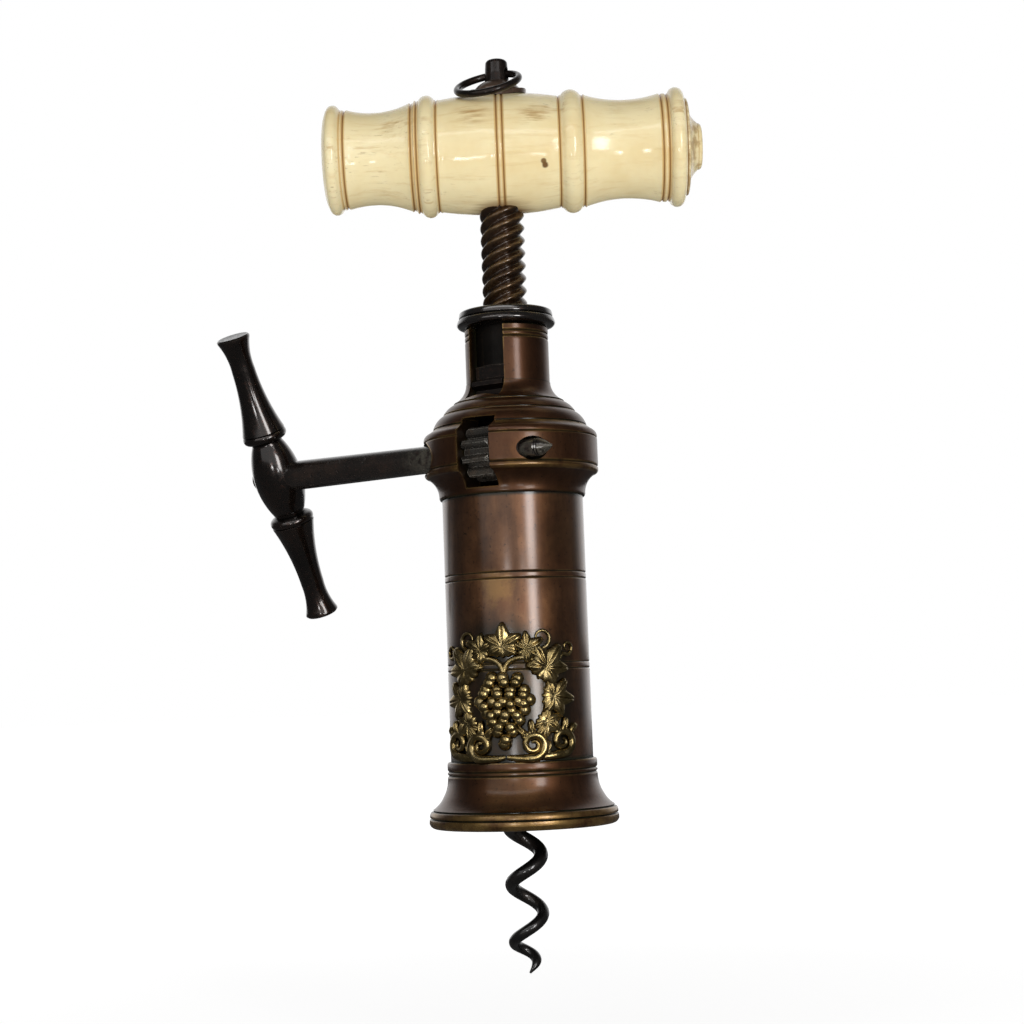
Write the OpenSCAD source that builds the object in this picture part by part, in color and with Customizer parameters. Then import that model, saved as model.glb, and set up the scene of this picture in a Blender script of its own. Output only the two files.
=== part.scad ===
// Rack-and-pinion barrel corkscrew with a turned bone handle.
// The bone handle winds a four-start screw and the worm down through a steel collar.
// The side handle turns a pinion that lifts the collar, its rack and the cork.
// +Z is the barrel's axis, the origin is the middle of the bell's lower rim,
// the rack faces -Y and the side handle points to -X.

/* [Barrel] */
// Outer radius of the bronze tube
tube_r = 14.35; // [13:0.05:16]
// Wall of the tube
tube_wall = 2.1; // [1.5:0.1:2.5]
// Length of the tube between its seats
tube_len = 58.5; // [50:0.5:70]
// Height of the lower pair of turned lines above the tube's foot
low_line_up = 23.6; // [20:0.1:28]
// Height of the upper pair of turned lines above the tube's foot
high_line_up = 41.6; // [38:0.1:46]
// Distance between the two lines of a pair
line_step = 1.25; // [1:0.05:2]
// Depth of a turned line
line_deep = 0.22; // [0.1:0.02:0.35]

/* [Bell] */
// Height of the bell
bell_h = 13.1; // [12:0.1:16]
// Width of the ledge that stops on the bottle's lip
seat_w = 2.35; // [1.8:0.05:3]
// Depth of the socket for the bottle's lip
bottle_depth = 6; // [5:0.1:7]
// Thickness of the ledge
seat_t = 1.5; // [1:0.1:2]
// Wall of the bell at the ledge
bell_wall = 1.6; // [1.2:0.1:2.2]
// How far the rim stands out past the bottle socket
rim_out = 4.5; // [4:0.1:6]
// How far the bell's upper ring stands out past the tube
ring_lip = 0.75; // [0.6:0.05:1.4]
// Height of the bell's upper ring
ring_h = 3; // [2.4:0.1:3.6]

/* [Shoulder cap] */
// Radius of the band that houses the pinion
band_r = 17.75; // [17:0.05:19]
// Height of the band
band_h = 7.6; // [7:0.1:9]
// Height of the hollow below the band
cove_h = 4.6; // [4:0.1:6]
// Height of the stepped dome
dome_h = 11.3; // [10:0.1:13]
// Height of the neck
neck_h = 11.5; // [10:0.1:14]
// Wall of the neck
neck_wall = 2.1; // [1.8:0.02:2.4]
// How far the cap's lower edge stands out past the tube
ledge_lip = 0.45; // [0.3:0.05:1.2]
// Depth of the spigot inside the tube
spigot_h = 5.5; // [4:0.5:8]
// Wall of the spigot
spigot_wall = 1.7; // [1.4:0.1:2.2]

/* [Rack and pinion] */
// Tooth module
gear_m = 1.05; // [1:0.01:1.1]
// Teeth on the pinion
pinion_teeth = 9; // [8:1:9]
// Flank angle of the teeth
flank_angle = 25; // [24:0.5:27]
// Height of the rack teeth above the pitch line
rack_add = 0.75; // [0.6:0.01:0.76]
// Height of the pinion teeth above the pitch circle
pinion_add = 0.85; // [0.75:0.01:0.9]
// Width of the pinion
pinion_w = 6.4; // [5.6:0.1:7]
// How far the pinion sits along its axis from the middle of the rack
pinion_shift = 2.6; // [0:0.1:2.8]
// Height of the pinion's axis above the cap's lower edge
pinion_up = 8.3; // [7.8:0.05:9]
// Width of the rack bar
rack_w = 7.5; // [6.6:0.1:8]
// Thickness of the rack bar under its teeth
rack_base = 0.55; // [0.4:0.05:0.8]
// Depth of the flat that carries the rack bar
flat_cut = 0.95; // [0.8:0.05:1.1]
// Height of the rack bar's top below the neck's top
rack_top_drop = 8.2; // [7:0.1:10]
// Wall of the rack sleeve
sleeve_wall = 1.65; // [1.5:0.05:2]
// Length of the rack sleeve below the collar
sleeve_len = 75; // [70:0.5:76]
// Radius of the rivets that hold the rack bar
rivet_r = 0.6; // [0.4:0.05:0.8]

/* [Collar] */
// Radius of the collar's lower rim
collar_r = 10.2; // [9.6:0.05:11]
// Height of the collar
collar_h = 3.5; // [3.2:0.1:5]
// How far the upper rim is set back
collar_step = 0.55; // [0.2:0.05:0.8]
// Depth of the socket that holds the sleeve
socket_h = 1.8; // [1.4:0.1:2.2]

/* [Pinion shaft and side handle] */
// Distance from the barrel's axis to the side handle's bar
side_reach = 52.3; // [46:0.1:60]
// Radius of the journal in the open side of the cap
big_journal_r = 3.6; // [3.3:0.02:4.5]
// Length of the open side's journal
big_journal_l = 2.8; // [2.4:0.1:4]
// Radius of the journal in the far side of the cap
small_journal_r = 2.3; // [1.9:0.02:2.4]
// Radius of the shaft where it leaves the cap
shaft_r = 2.75; // [2.5:0.05:3]
// Radius of the shaft where it meets the side handle
shaft_end_r = 3.1; // [2.8:0.05:3.4]
// Radius of the tenon that is riveted through the side handle
tenon_r = 2.4; // [2:0.05:2.6]
// Distance from the barrel's axis to the shaft's pointed end
point_reach = 18.3; // [17.5:0.1:20]
// Radius of the pointed end
point_r = 1.5; // [1.2:0.05:1.8]
// Half length of the side handle's bar
bar_half = 31.8; // [28:0.2:36]
// Radius of the bar's middle knob
knob_r = 5.2; // [4.8:0.05:6]
// Half length of the middle knob
knob_half = 8; // [7:0.1:9]
// Radius of the necks beside the knob
bar_neck_r = 3.3; // [3:0.05:3.6]
// Radius of each arm's inner end
arm_in_r = 4.7; // [4.3:0.05:5.2]
// Radius of each arm's waist
arm_waist_r = 2.5; // [2.2:0.05:2.8]
// Radius of each arm's outer end
arm_out_r = 3.55; // [3:0.05:3.8]
// Lean of the bar about the shaft
bar_tilt = 25; // [0:1:90]

/* [Screw and worm] */
// Radius over the screw's ridges
screw_r = 4.6; // [4.3:0.05:4.9]
// Depth of the screw's grooves
thread_deep = 0.9; // [0.6:0.05:1]
// Rise of the screw in one turn
lead = 10.5; // [9:0.1:12]
// Ridges that wind side by side
starts = 4; // [3:1:5]
// Length of the threaded part
thread_len = 60.5; // [58:0.5:66]
// Radius of the plain lower shank
shank_r = 3.6; // [3.3:0.05:3.65]
// Radius of the tang inside the handle
tang_r = 3; // [2.6:0.05:3.4]
// Length of the worm that shows below the bell
worm_show = 29.2; // [24:0.2:34]
// Length of the worm's coil
worm_len = 60.2; // [54:0.2:64]
// Rise of the worm in one turn
worm_pitch = 11.6; // [10:0.1:13]
// Radius of the worm's wire where it is thickest
wire_r = 1.4; // [1.2:0.05:1.5]
// Radius of the worm's straight shank
worm_shank_r = 2; // [1.8:0.05:2.2]
// Length of the worm's shank inside the screw
worm_shank_l = 12; // [9:0.5:15]
// Radius of the pin through the worm's shank
pin_r = 0.8; // [0.6:0.05:0.9]
// Radius of the stop ring under the thread
stop_r = 4.5; // [4.2:0.02:4.52]
// Height of the stop ring
stop_h = 3.2; // [2.4:0.1:4]

/* [Bone handle] */
// Height of the handle's axis above the collar
handle_rise = 33.2; // [28:0.2:40]
// Turn of the handle about the barrel's axis
handle_yaw = 33.5; // [0:0.5:360]
// Radius at the middle of the handle
grip_r = 12.5; // [11.5:0.05:13.5]
// Radius at the ends of the middle part
grip_shoulder_r = 11.55; // [10.8:0.05:12]
// Half length of the middle part
grip_half = 12.1; // [11:0.1:13]
// Radius of the beads beside the middle part
bead_r = 12.6; // [11.8:0.05:13.6]
// Distance of the beads from the barrel's axis
bead_at = 14.9; // [14:0.1:16]
// Width of a bead
bead_w = 3.4; // [2.8:0.1:4]
// Radius of the left arm's waist
left_waist_r = 9.55; // [8.8:0.05:10.4]
// Radius of the right arm's waist
right_waist_r = 10.15; // [9.2:0.05:10.8]
// Radius of the left end
left_end_r = 11.3; // [10.6:0.05:12]
// Radius of the right end
right_end_r = 12.25; // [11.4:0.05:13]
// Length of the left arm
left_arm = 35.4; // [32:0.2:40]
// Length of the right arm
right_arm = 38.2; // [35:0.2:42]
// Radius of the plugs' stems
plug_r = 6; // [5:0.1:7]
// Length of the plugs' stems
plug_l = 7; // [5:0.5:9]
// Height of the right plug's button
button_h = 3.6; // [3:0.1:5]
// Radius of the right plug's button
button_r = 4.8; // [4:0.1:5.5]
// Radius of the right plug's flange
flange_r = 10.2; // [9.4:0.1:10.8]
// Height of the left end's dome
left_dome_h = 1.1; // [0.6:0.1:1.6]

/* [Hanging ring] */
// Radius of the domed washer
washer_r = 6; // [5.4:0.1:6.6]
// Thickness of the washer's rim
washer_t = 0.9; // [0.7:0.05:1.3]
// Rise of the washer's dome above its rim
washer_dome = 1.7; // [1.2:0.1:2.2]
// Radius of the post
post_r = 2.5; // [2.2:0.05:2.7]
// Height of the post above the washer
post_h = 4.8; // [4.6:0.1:6]
// Height of the ring's hole above the washer
hole_up = 1.8; // [1.6:0.05:2.4]
// Radius of the post's stem
stem_r = 1.9; // [1.6:0.05:2]
// Length of the post's stem below the handle's crown
stem_l = 12; // [9:0.5:15]
// Middle radius of the ring
ring_mid_r = 6.45; // [5.6:0.05:7]
// Radius of the ring's wire
ring_wire_r = 0.75; // [0.6:0.05:0.85]
// Angle at which the ring lies against the handle
ring_dip = 32; // [20:1:33]
// Turn of the ring's hole about the barrel's axis
ring_yaw = 14; // [-40:1:60]

/* [Brass spray] */
// Direction of the spray's middle about the barrel's axis
spray_turn = 22; // [0:1:45]
// Gap between the bell and the spray's lowest grape
spray_gap = 0.3; // [0.2:0.1:4]
// Relief of the leaves
leaf_t = 0.9; // [0.6:0.05:1.2]
// Size of the large leaves
leaf_r = 6.3; // [5.6:0.1:6.8]
// Radius of a grape
grape_r = 1.36; // [1.2:0.02:1.5]
// Width of a vine stem
vine_w = 1.5; // [1.2:0.1:1.8]

/* [Clearances] */
// Radial play of shafts and sleeves that turn or slide
run_gap = 0.06; // [0.02:0.01:0.1]
// Gap between pieces that are fixed together
fix_gap = 0.03; // [0.02:0.01:0.06]
// Gap between flat faces that meet at rest
rest_gap = 0.1; // [0.05:0.05:0.3]
// Free room beside the rack bar in its slot
key_gap = 0.4; // [0.3:0.05:0.6]
// How far the slot reaches out past the neck
key_out = 1.4; // [1:0.1:2]
// Free room beside the pinion in its window
side_gap = 0.3; // [0.2:0.05:0.5]
// Free room above and below the pinion in its window
window_gap = 1.4; // [1.2:0.05:2]
// Play between the teeth along the pitch line
backlash = 0.2; // [0.14:0.02:0.3]
// Room under a tooth's tip
tip_gap = 0.15; // [0.1:0.01:0.2]
// Room between the screw and the sleeve's bore
sleeve_play = 0.15; // [0.12:0.01:0.3]
// How far the worm lies inside the screw's radius
worm_inset = 0.15; // [0.1:0.05:0.3]

/* [Hidden] */
$fn = 64;
eps = 0.01;
far = 200;

bronze = [0.35, 0.22, 0.15];
brass = [0.70, 0.55, 0.24];
steel = [0.13, 0.12, 0.11];
bone = [0.91, 0.86, 0.68];

tube_bore = tube_r - tube_wall;
bottle_r = tube_bore + seat_w;
bell_r = bottle_r + rim_out;
ring_r = tube_r + ring_lip;
tube_z = bottle_depth + seat_t;
cap_z = tube_z + tube_len;
band_z = cap_z + cove_h;
dome_z = band_z + band_h;
neck_z = dome_z + dome_h;
neck_top = neck_z + neck_h;
collar_z = neck_top + rest_gap;
collar_top = collar_z + collar_h;

sleeve_bore = screw_r + sleeve_play;
sleeve_r = sleeve_bore + sleeve_wall;
neck_bore = sleeve_r + run_gap;
neck_r = neck_bore + neck_wall;
ledge_r = tube_r + ledge_lip;
sleeve_z = collar_z - sleeve_len;

flat_y = sleeve_r - flat_cut;
rack_ded = pinion_add + tip_gap;
rack_root_y = flat_y + rack_base;
rack_pitch_y = rack_root_y + rack_ded;
rack_tip_y = rack_pitch_y + rack_add;
tooth_pitch = PI * gear_m;
rack_top = neck_top - rack_top_drop;
key_half = rack_w / 2 + key_gap;
key_y = neck_r + key_out;

pitch_r = gear_m * pinion_teeth / 2;
base_r = pitch_r * cos(flank_angle);
tip_r = pitch_r + pinion_add;
root_r = pitch_r - rack_add - tip_gap;
pinion_y = rack_pitch_y + pitch_r;
pinion_z = cap_z + pinion_up;
window_half = pinion_w / 2 + side_gap;
journal_x = key_half + side_gap;

handle_z = collar_top + handle_rise;
seat_z = handle_z - sqrt(grip_r * grip_r - screw_r * screw_r) + 0.3;
thread_z = seat_z - thread_len;
worm_tip = -worm_show;
worm_top = worm_tip + worm_len;
worm_mid_r = screw_r - worm_inset - wire_r;
crown_z = handle_z + grip_r;
washer_top = crown_z + washer_t + washer_dome;
hole_z = washer_top + hole_up;

// Points along the arc from p to q that stands out sideways by sag times the chord
function arc(p, q, sag, n = 5) =
    let (
        d = q - p,
        chord = norm(d),
        along = d / chord,
        out = [along.y, -along.x],
        half = 2 * atan(2 * sag),
        r = chord / 2 / sin(half)
    )
    [for (i = [0:n])
        let (t = -half + 2 * half * i / n)
        (p + q) / 2 + along * r * sin(t) + out * r * (cos(t) - cos(half))];

// Three points of a V groove that is cut into a straight outline at height z
function groove(r, z, deep) = [[r, z - deep], [r - deep, z], [r, z + deep]];

// Turns a profile about an axis that runs along X
module along_x() {
    rotate([0, 90, 0]) children();
}

// Places a piece that belongs to the bone handle
module on_handle() {
    translate([0, 0, handle_z]) rotate([0, 0, handle_yaw]) along_x() children();
}

// Places a piece that turns with the pinion
module on_pinion() {
    translate([0, -pinion_y, pinion_z]) along_x() children();
}

// Bronze tube with two pairs of turned lines
module barrel_tube() {
    color(bronze)
    translate([0, 0, tube_z])
    rotate_extrude()
    polygon(concat(
        [[tube_bore, 0], [tube_r, 0]],
        groove(tube_r, low_line_up, line_deep),
        groove(tube_r, low_line_up + line_step, line_deep),
        groove(tube_r, high_line_up, line_deep),
        groove(tube_r, high_line_up + line_step, line_deep),
        [[tube_r, tube_len], [tube_bore, tube_len]]
    ));
}

// Flared bronze foot: its socket takes the bottle's lip and its ledge stops on it
module bell_mouth() {
    rim_h = 3.5;
    rim_round = 1.4;
    step = 0.4;
    flare_foot = [bell_r - 2 * step, rim_h + step / 2];
    flare_waist = [bottle_r + bell_wall, bottle_depth];
    ring_z = bell_h - ring_h;
    flare_top = [ring_r, ring_z];
    lead_in = 1.5;
    color(bronze)
    rotate_extrude()
    polygon(concat(
        [[bottle_r + lead_in, 0]],
        arc([bell_r - rim_round, 0], [bell_r, rim_h * 0.3], 0.2),
        [[bell_r, rim_h * 0.52], [bell_r - step, rim_h * 0.58]],
        arc([bell_r - step / 4, rim_h * 0.64], [bell_r - step, rim_h * 0.94], 0.15),
        [[bell_r - 2.4 * step, rim_h]],
        arc(flare_foot, flare_waist, -0.08),
        arc(flare_waist, flare_top, -0.06),
        groove(ring_r, ring_z + ring_h * 0.1, line_deep),
        groove(ring_r, ring_z + ring_h * 0.33, line_deep),
        [[ring_r, bell_h - line_deep], [ring_r - line_deep, bell_h]],
        [[tube_r + fix_gap, bell_h], [tube_r + fix_gap, tube_z], [tube_bore, tube_z]],
        [[tube_bore, bottle_depth], [bottle_r, bottle_depth], [bottle_r, lead_in]]
    ));
}

// Outline of the cap: ledge, cove, band, three stepped tiers and the neck
function cap_outline() =
    let (
        rise = band_r - neck_r,
        at = function(f, g) [neck_r + f * rise, dome_z + g * dome_h],
        cove = [ledge_r + 0.1, cap_z + 0.4]
    )
    concat(
        [[ledge_r, cap_z], [ledge_r, cap_z + 0.3]],
        arc(cove, [band_r - 0.8, band_z - 0.15], -0.128),
        arc([band_r - 0.7, band_z - 0.1], [band_r, band_z + 0.7], 0.2, 4),
        groove(band_r, band_z + 1.3, line_deep),
        groove(band_r, dome_z - 0.2, line_deep * 0.7),
        arc(at(1, 0), at(0.9, 0.11), 0.15, 4),
        [at(0.775, 0.185), at(0.765, 0.2)],
        arc(at(0.775, 0.21), at(0.55, 0.44), 0.1),
        [at(0.525, 0.45), at(0.525, 0.46)],
        arc(at(0.535, 0.47), at(0.31, 0.635), 0.08),
        [at(0.285, 0.645), at(0.285, 0.655)],
        arc(at(0.295, 0.665), at(0.01, 0.985), -0.13),
        [at(0.01, 1), at(0, 1)],
        groove(neck_r, neck_top - 2.6, line_deep),
        groove(neck_r, neck_top - 1.5, line_deep),
        [[neck_r, neck_top - 0.3], [neck_r - 0.3, neck_top]]
    );

// Bronze housing: neck bored for the sleeve, slot for the rack, window for the pinion
module shoulder_cap() {
    spigot_r = tube_bore - fix_gap;
    window_z = pinion_z - tip_r - window_gap;
    window_h = 2 * (tip_r + window_gap);
    color(bronze)
    difference() {
        rotate_extrude()
        polygon(concat(
            [[0, neck_top], [0, cap_z - spigot_h], [spigot_r, cap_z - spigot_h], [spigot_r, cap_z]],
            cap_outline()
        ));
        translate([0, 0, cap_z - spigot_h - 1]) cylinder(r = neck_bore, h = far);
        // The rack's slot opens through the neck and runs on inside the dome
        translate([-key_half, -key_y, cap_z - spigot_h - 1]) cube([2 * key_half, key_y, far]);
        // The spigot is hollow below the ledge
        translate([0, 0, cap_z - spigot_h - 1])
            cylinder(r = spigot_r - spigot_wall, h = spigot_h + 0.4);
        translate([pinion_shift - window_half, -far, window_z])
            cube([2 * window_half, far - rack_root_y, window_h]);
        // Open side for the large journal, far side for the small one
        on_pinion() translate([0, 0, -far]) cylinder(r = big_journal_r + run_gap, h = far);
        on_pinion() cylinder(r = small_journal_r + run_gap, h = far);
    }
}

// Outline of a vine leaf with five lobes, its stalk side pointing down
function leaf(size) =
    [for (a = [0:9:351])
        let (
            lobe = pow(abs(cos(2.5 * (a - 90))), 0.8),
            reach = 0.62 + 0.38 * lobe - 0.16 * pow(max(0, -sin(a)), 6)
        )
        size * reach * [cos(a), sin(a)]];

// A stem that curls along part of a ring
module curl(r, from, to) {
    difference() {
        circle(r = r + vine_w / 2);
        circle(r = r - vine_w / 2);
        rotate(to) translate([-2 * r, 0]) square([4 * r, 2 * r]);
        rotate(from) translate([-2 * r, -2 * r]) square([4 * r, 2 * r]);
    }
}

// Cast brass vine spray that is soldered to the tube: leaves, curling stems and grapes
module brass_spray() {
    rows = [3, 4, 3, 4, 3, 2, 1];
    row_step = grape_r * 1.78;
    grape_step = grape_r * 2.06;
    bunch_top = grape_r * 2.2;
    bunch_low = (len(rows) - 1) * row_step - bunch_top + grape_r;
    skin_r = tube_r + fix_gap;
    color(brass)
    translate([0, 0, bell_h + spray_gap + bunch_low])
    rotate([0, 0, spray_turn])
    difference() {
        union() {
            intersection() {
                translate([0, 0, -far / 2]) cylinder(r = skin_r + leaf_t, h = far);
                rotate([90, 0, 0]) linear_extrude(far) spray_outline();
            }
            for (j = [0:len(rows) - 1], i = [0:rows[j] - 1])
                rotate([0, 0, (i - (rows[j] - 1) / 2) * grape_step / tube_r * 180 / PI])
                translate([0, -skin_r - leaf_t * 0.6, bunch_top - j * row_step])
                sphere(r = grape_r, $fn = 24);
        }
        translate([0, 0, -far / 2]) cylinder(r = skin_r, h = far);
    }
}

// Flat outline of the spray: five leaves, two curls and the backing of the bunch
module spray_outline() {
    translate([0, leaf_r * 1.2]) polygon(leaf(leaf_r));
    for (s = [-1, 1]) {
        translate([s * leaf_r * 1.22, leaf_r * 0.42]) rotate(-s * 38) polygon(leaf(leaf_r * 0.92));
        translate([s * leaf_r * 1.02, -leaf_r * 1.24]) rotate(-s * 118) polygon(leaf(leaf_r * 0.78));
        mirror([s > 0 ? 0 : 1, 0])
            translate([leaf_r * 1.2, -leaf_r * 0.62]) curl(leaf_r * 0.55, -30, 150);
    }
    polygon([
        [-grape_r * 4.2, grape_r * 2.6], [-grape_r * 4.2, -grape_r * 4], [-grape_r, -grape_r * 9.2],
        [grape_r, -grape_r * 9.2], [grape_r * 4.2, -grape_r * 4], [grape_r * 4.2, grape_r * 2.6]
    ]);
}

// Steel collar with two rims: the screw's nut, fixed on top of the sleeve
module collar_nut() {
    up_r = collar_r - collar_step;
    color(steel)
    translate([0, 0, collar_z])
    rotate_extrude()
    polygon(concat(
        [[sleeve_r + fix_gap, 0], [neck_r - 0.2, 0]],
        arc([collar_r - 0.5, collar_h * 0.12], [collar_r - 0.15, collar_h * 0.5], 0.2),
        [[up_r - 0.25, collar_h * 0.56], [up_r - 0.25, collar_h * 0.6]],
        arc([up_r, collar_h * 0.65], [up_r - 0.3, collar_h], 0.2),
        [[screw_r + 1, collar_h], [screw_r + run_gap, collar_h - 0.5]],
        [[screw_r + run_gap, socket_h], [sleeve_r + fix_gap, socket_h]]
    ));
}

// Steel sleeve round the screw, with a flat for the rack bar
module rack_sleeve() {
    color(steel)
    difference() {
        translate([0, 0, sleeve_z]) cylinder(r = sleeve_r, h = sleeve_len + socket_h - rest_gap / 2);
        translate([0, 0, sleeve_z - 1]) cylinder(r = sleeve_bore, h = far);
        translate([-far / 2, -flat_y - far, sleeve_z - 1])
            cube([far, far, rack_top - sleeve_z + 1 + fix_gap]);
        rivet_places() cylinder(r = rivet_r + fix_gap, h = far, center = true);
    }
}

// Places of the three rivets, in tooth gaps of the rack
module rivet_places() {
    span = rack_top - sleeve_z;
    for (share = [0.12, 0.5, 0.88]) {
        gap_count = round((sleeve_z + share * span - pinion_z) / tooth_pitch);
        translate([0, -flat_y, pinion_z + gap_count * tooth_pitch]) rotate([90, 0, 0]) children();
    }
}

// Steel bar with straight-sided teeth, riveted to the sleeve
module rack_bar() {
    half_tooth = tooth_pitch / 4 - backlash / 4;
    slope = tan(flank_angle);
    first = ceil((sleeve_z - pinion_z) / tooth_pitch - 0.5 + 0.36);
    last = floor((rack_top - pinion_z) / tooth_pitch - 0.5 - 0.36);
    color(steel)
    difference() {
        rotate([0, 0, 180]) rotate([0, -90, 0])
        translate([0, 0, -rack_w / 2])
        linear_extrude(rack_w)
        polygon(concat(
            [[rack_top, flat_y + fix_gap], [sleeve_z, flat_y + fix_gap], [sleeve_z, rack_root_y]],
            [for (k = [first:last])
                let (z = pinion_z + (k + 0.5) * tooth_pitch)
                each [
                    [z - half_tooth - rack_ded * slope, rack_root_y],
                    [z - half_tooth + rack_add * slope, rack_tip_y],
                    [z + half_tooth - rack_add * slope, rack_tip_y],
                    [z + half_tooth + rack_ded * slope, rack_root_y]
                ]],
            [[rack_top, rack_root_y]]
        ));
        rivet_places() cylinder(r = rivet_r + fix_gap, h = far, center = true);
    }
}

// Three flush rivets through the rack bar and the sleeve's wall
module rack_rivets() {
    color(steel)
    rivet_places()
    translate([0, 0, sleeve_bore - flat_y + fix_gap + 0.35])
    cylinder(r = rivet_r, h = rack_root_y - sleeve_bore - fix_gap - 0.4);
}

// Angle in degrees of the involute at radius r
function involute(r) =
    let (a = acos(base_r / r))
    tan(a) * 180 / PI - a;

// Outline of the pinion: involute flanks on radial feet
function pinion_outline() =
    let (
        half_tooth = (tooth_pitch / 2 - backlash / 2) / 2 / pitch_r * 180 / PI,
        steps = 4,
        turn = function(r) half_tooth + involute(pitch_r) - involute(r),
        flank = [for (i = [0:steps])
            let (r = base_r + (tip_r - base_r) * i / steps)
            [r, turn(r)]],
        foot = [[root_r, turn(base_r)]],
        rising = concat(foot, flank)
    )
    [for (t = [0:pinion_teeth - 1], side = [-1, 1], i = [0:steps + 1])
        let (
            p = rising[side < 0 ? i : steps + 1 - i],
            a = 90 + t * 360 / pinion_teeth + side * p[1]
        )
        p[0] * [cos(a), sin(a)]];

// Steel pinion, pinned to its shaft, with rounded tooth ends
module pinion() {
    corner = 0.5;
    color(steel)
    on_pinion()
    difference() {
        translate([0, 0, pinion_shift])
        intersection() {
            translate([0, 0, -pinion_w / 2]) linear_extrude(pinion_w) polygon(pinion_outline());
            rotate_extrude()
            polygon([
                [0, -pinion_w / 2], [tip_r - corner, -pinion_w / 2], [tip_r + eps, corner - pinion_w / 2],
                [tip_r + eps, pinion_w / 2 - corner], [tip_r - corner, pinion_w / 2], [0, pinion_w / 2]
            ]);
        }
        translate([0, 0, -far / 2]) cylinder(r = small_journal_r + fix_gap, h = far);
        pin_place() cylinder(r = pin_r + fix_gap, h = 2 * root_r, center = true);
    }
}

// The pinion's pin crosses the shaft and is driven in from a tooth gap
module pin_place() {
    translate([0, 0, pinion_shift]) rotate([0, 0, 180 / pinion_teeth]) rotate([90, 0, 0]) children();
}

// Steel pin that locks the pinion to its shaft
module pinion_pin() {
    color(steel)
    on_pinion()
    pin_place() cylinder(r = pin_r, h = 2 * (root_r - 0.1), center = true);
}

// Steel shaft: pointed end, two journals, long tapered arm and a riveted tenon
module pinion_shaft() {
    point_foot = point_reach - 2.3 * point_r;
    big_out = journal_x + big_journal_l;
    knob_face = side_reach - sqrt(knob_r * knob_r - shaft_end_r * shaft_end_r);
    rivet_face = side_reach + knob_r;
    nick = 0.25;
    color(steel)
    difference() {
        on_pinion()
        rotate_extrude()
        polygon(concat(
            [[0, -rivet_face - 0.7]],
            arc([tenon_r * 0.5, -rivet_face - 0.7], [tenon_r, -rivet_face + 0.3], 0.2, 4),
            [[tenon_r, -knob_face - 1.2], [shaft_end_r, -knob_face - 1.2]],
            [[shaft_end_r, 0.6 - knob_face], [shaft_r, -big_out]],
            [[big_journal_r - 0.4, -big_out], [big_journal_r, 0.4 - big_out]],
            [[big_journal_r, -journal_x], [small_journal_r, -journal_x]],
            [[small_journal_r, point_foot - 4 - nick], [point_r, point_foot - 4]],
            [[point_r, point_foot - 3 * nick], [point_r - nick, point_foot - 2 * nick]],
            [[point_r, point_foot - nick], [point_r - nick, point_foot]],
            arc([point_r - 0.1, point_foot + nick], [0.15, point_reach], 0.03, 4),
            [[0, point_reach]]
        ));
        on_pinion() pin_place() cylinder(r = pin_r + fix_gap, h = 4 * small_journal_r, center = true);
    }
}

// Turned steel bar: an egg-shaped knob between two trumpet arms
module side_handle() {
    neck_at = knob_half + 0.4;
    arm_at = neck_at + 1.8;
    waist_at = bar_half - 8;
    knob = arc([bar_neck_r, -knob_half], [bar_neck_r, knob_half], (knob_r - bar_neck_r) / 2 / knob_half, 10);
    arm = concat(
        [[bar_neck_r, neck_at]],
        arc([arm_in_r - 0.5, neck_at + 0.3], [arm_in_r - 0.1, arm_at], 0.2, 4),
        [[arm_in_r - 0.3, arm_at + 0.2]],
        arc([arm_in_r - 0.1, arm_at + 0.4], [arm_waist_r, waist_at], -0.035),
        arc([arm_waist_r, waist_at + 0.6], [arm_out_r, bar_half - 0.6], -0.06),
        [[arm_out_r, bar_half - 0.3], [arm_out_r - 0.3, bar_half], [0, bar_half]]
    );
    last = len(arm) - 1;
    color(steel)
    translate([-side_reach, -pinion_y, pinion_z])
    difference() {
        rotate([bar_tilt, 0, 0])
        rotate_extrude()
        polygon(concat(
            [for (i = [last:-1:0]) [arm[i].x, -arm[i].y]],
            knob,
            arm
        ));
        // Seat of the shaft's shoulder and the tenon's hole through the knob
        along_x() cylinder(r = tenon_r + fix_gap, h = far, center = true);
        along_x() translate([0, 0, sqrt(knob_r * knob_r - shaft_end_r * shaft_end_r) - 1.2 - fix_gap])
            cylinder(r = shaft_end_r + fix_gap, h = far);
    }
}

// Steel ring under the thread that keeps the screw from being wound out
module stop_ring() {
    color(steel)
    translate([0, 0, thread_z - stop_h - rest_gap])
    difference() {
        cylinder(r = stop_r, h = stop_h);
        translate([0, 0, -1]) cylinder(r = shank_r + run_gap, h = stop_h + 2);
    }
}

// Bronze screw: four rounded ridges, a plain shank with a socket, and a tang
module screw_spindle() {
    slices_per_turn = 20;
    points_per_ridge = 6;
    points = starts * points_per_ridge;
    ridge = [for (i = [0:points - 1])
        let (
            a = 360 * i / points,
            r = screw_r - thread_deep * (1 - abs(cos(starts * a / 2)))
        )
        r * [cos(a), sin(a)]];
    tang_top = crown_z - 3;
    color(bronze)
    difference() {
        union() {
            translate([0, 0, thread_z])
            linear_extrude(thread_len, twist = -360 * thread_len / lead,
                slices = ceil(slices_per_turn * thread_len / lead), $fn = points)
            polygon(ridge);
            translate([0, 0, worm_top]) cylinder(r = shank_r, h = thread_z - worm_top + 0.5);
            translate([0, 0, seat_z - 0.5]) cylinder(r = tang_r, h = tang_top - seat_z + 0.5);
        }
        translate([0, 0, worm_top - 1]) cylinder(r = worm_shank_r + fix_gap, h = worm_shank_l + 1.2);
        translate([0, 0, crown_z - stem_l - 0.2]) cylinder(r = stem_r + fix_gap, h = far);
        worm_pin_place() cylinder(r = pin_r + fix_gap, h = far, center = true);
    }
}

// Level and direction of the pin through the worm's shank
module worm_pin_place() {
    translate([0, 0, worm_top + worm_shank_l * 0.55]) rotate([0, 90, 0]) children();
}

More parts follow.
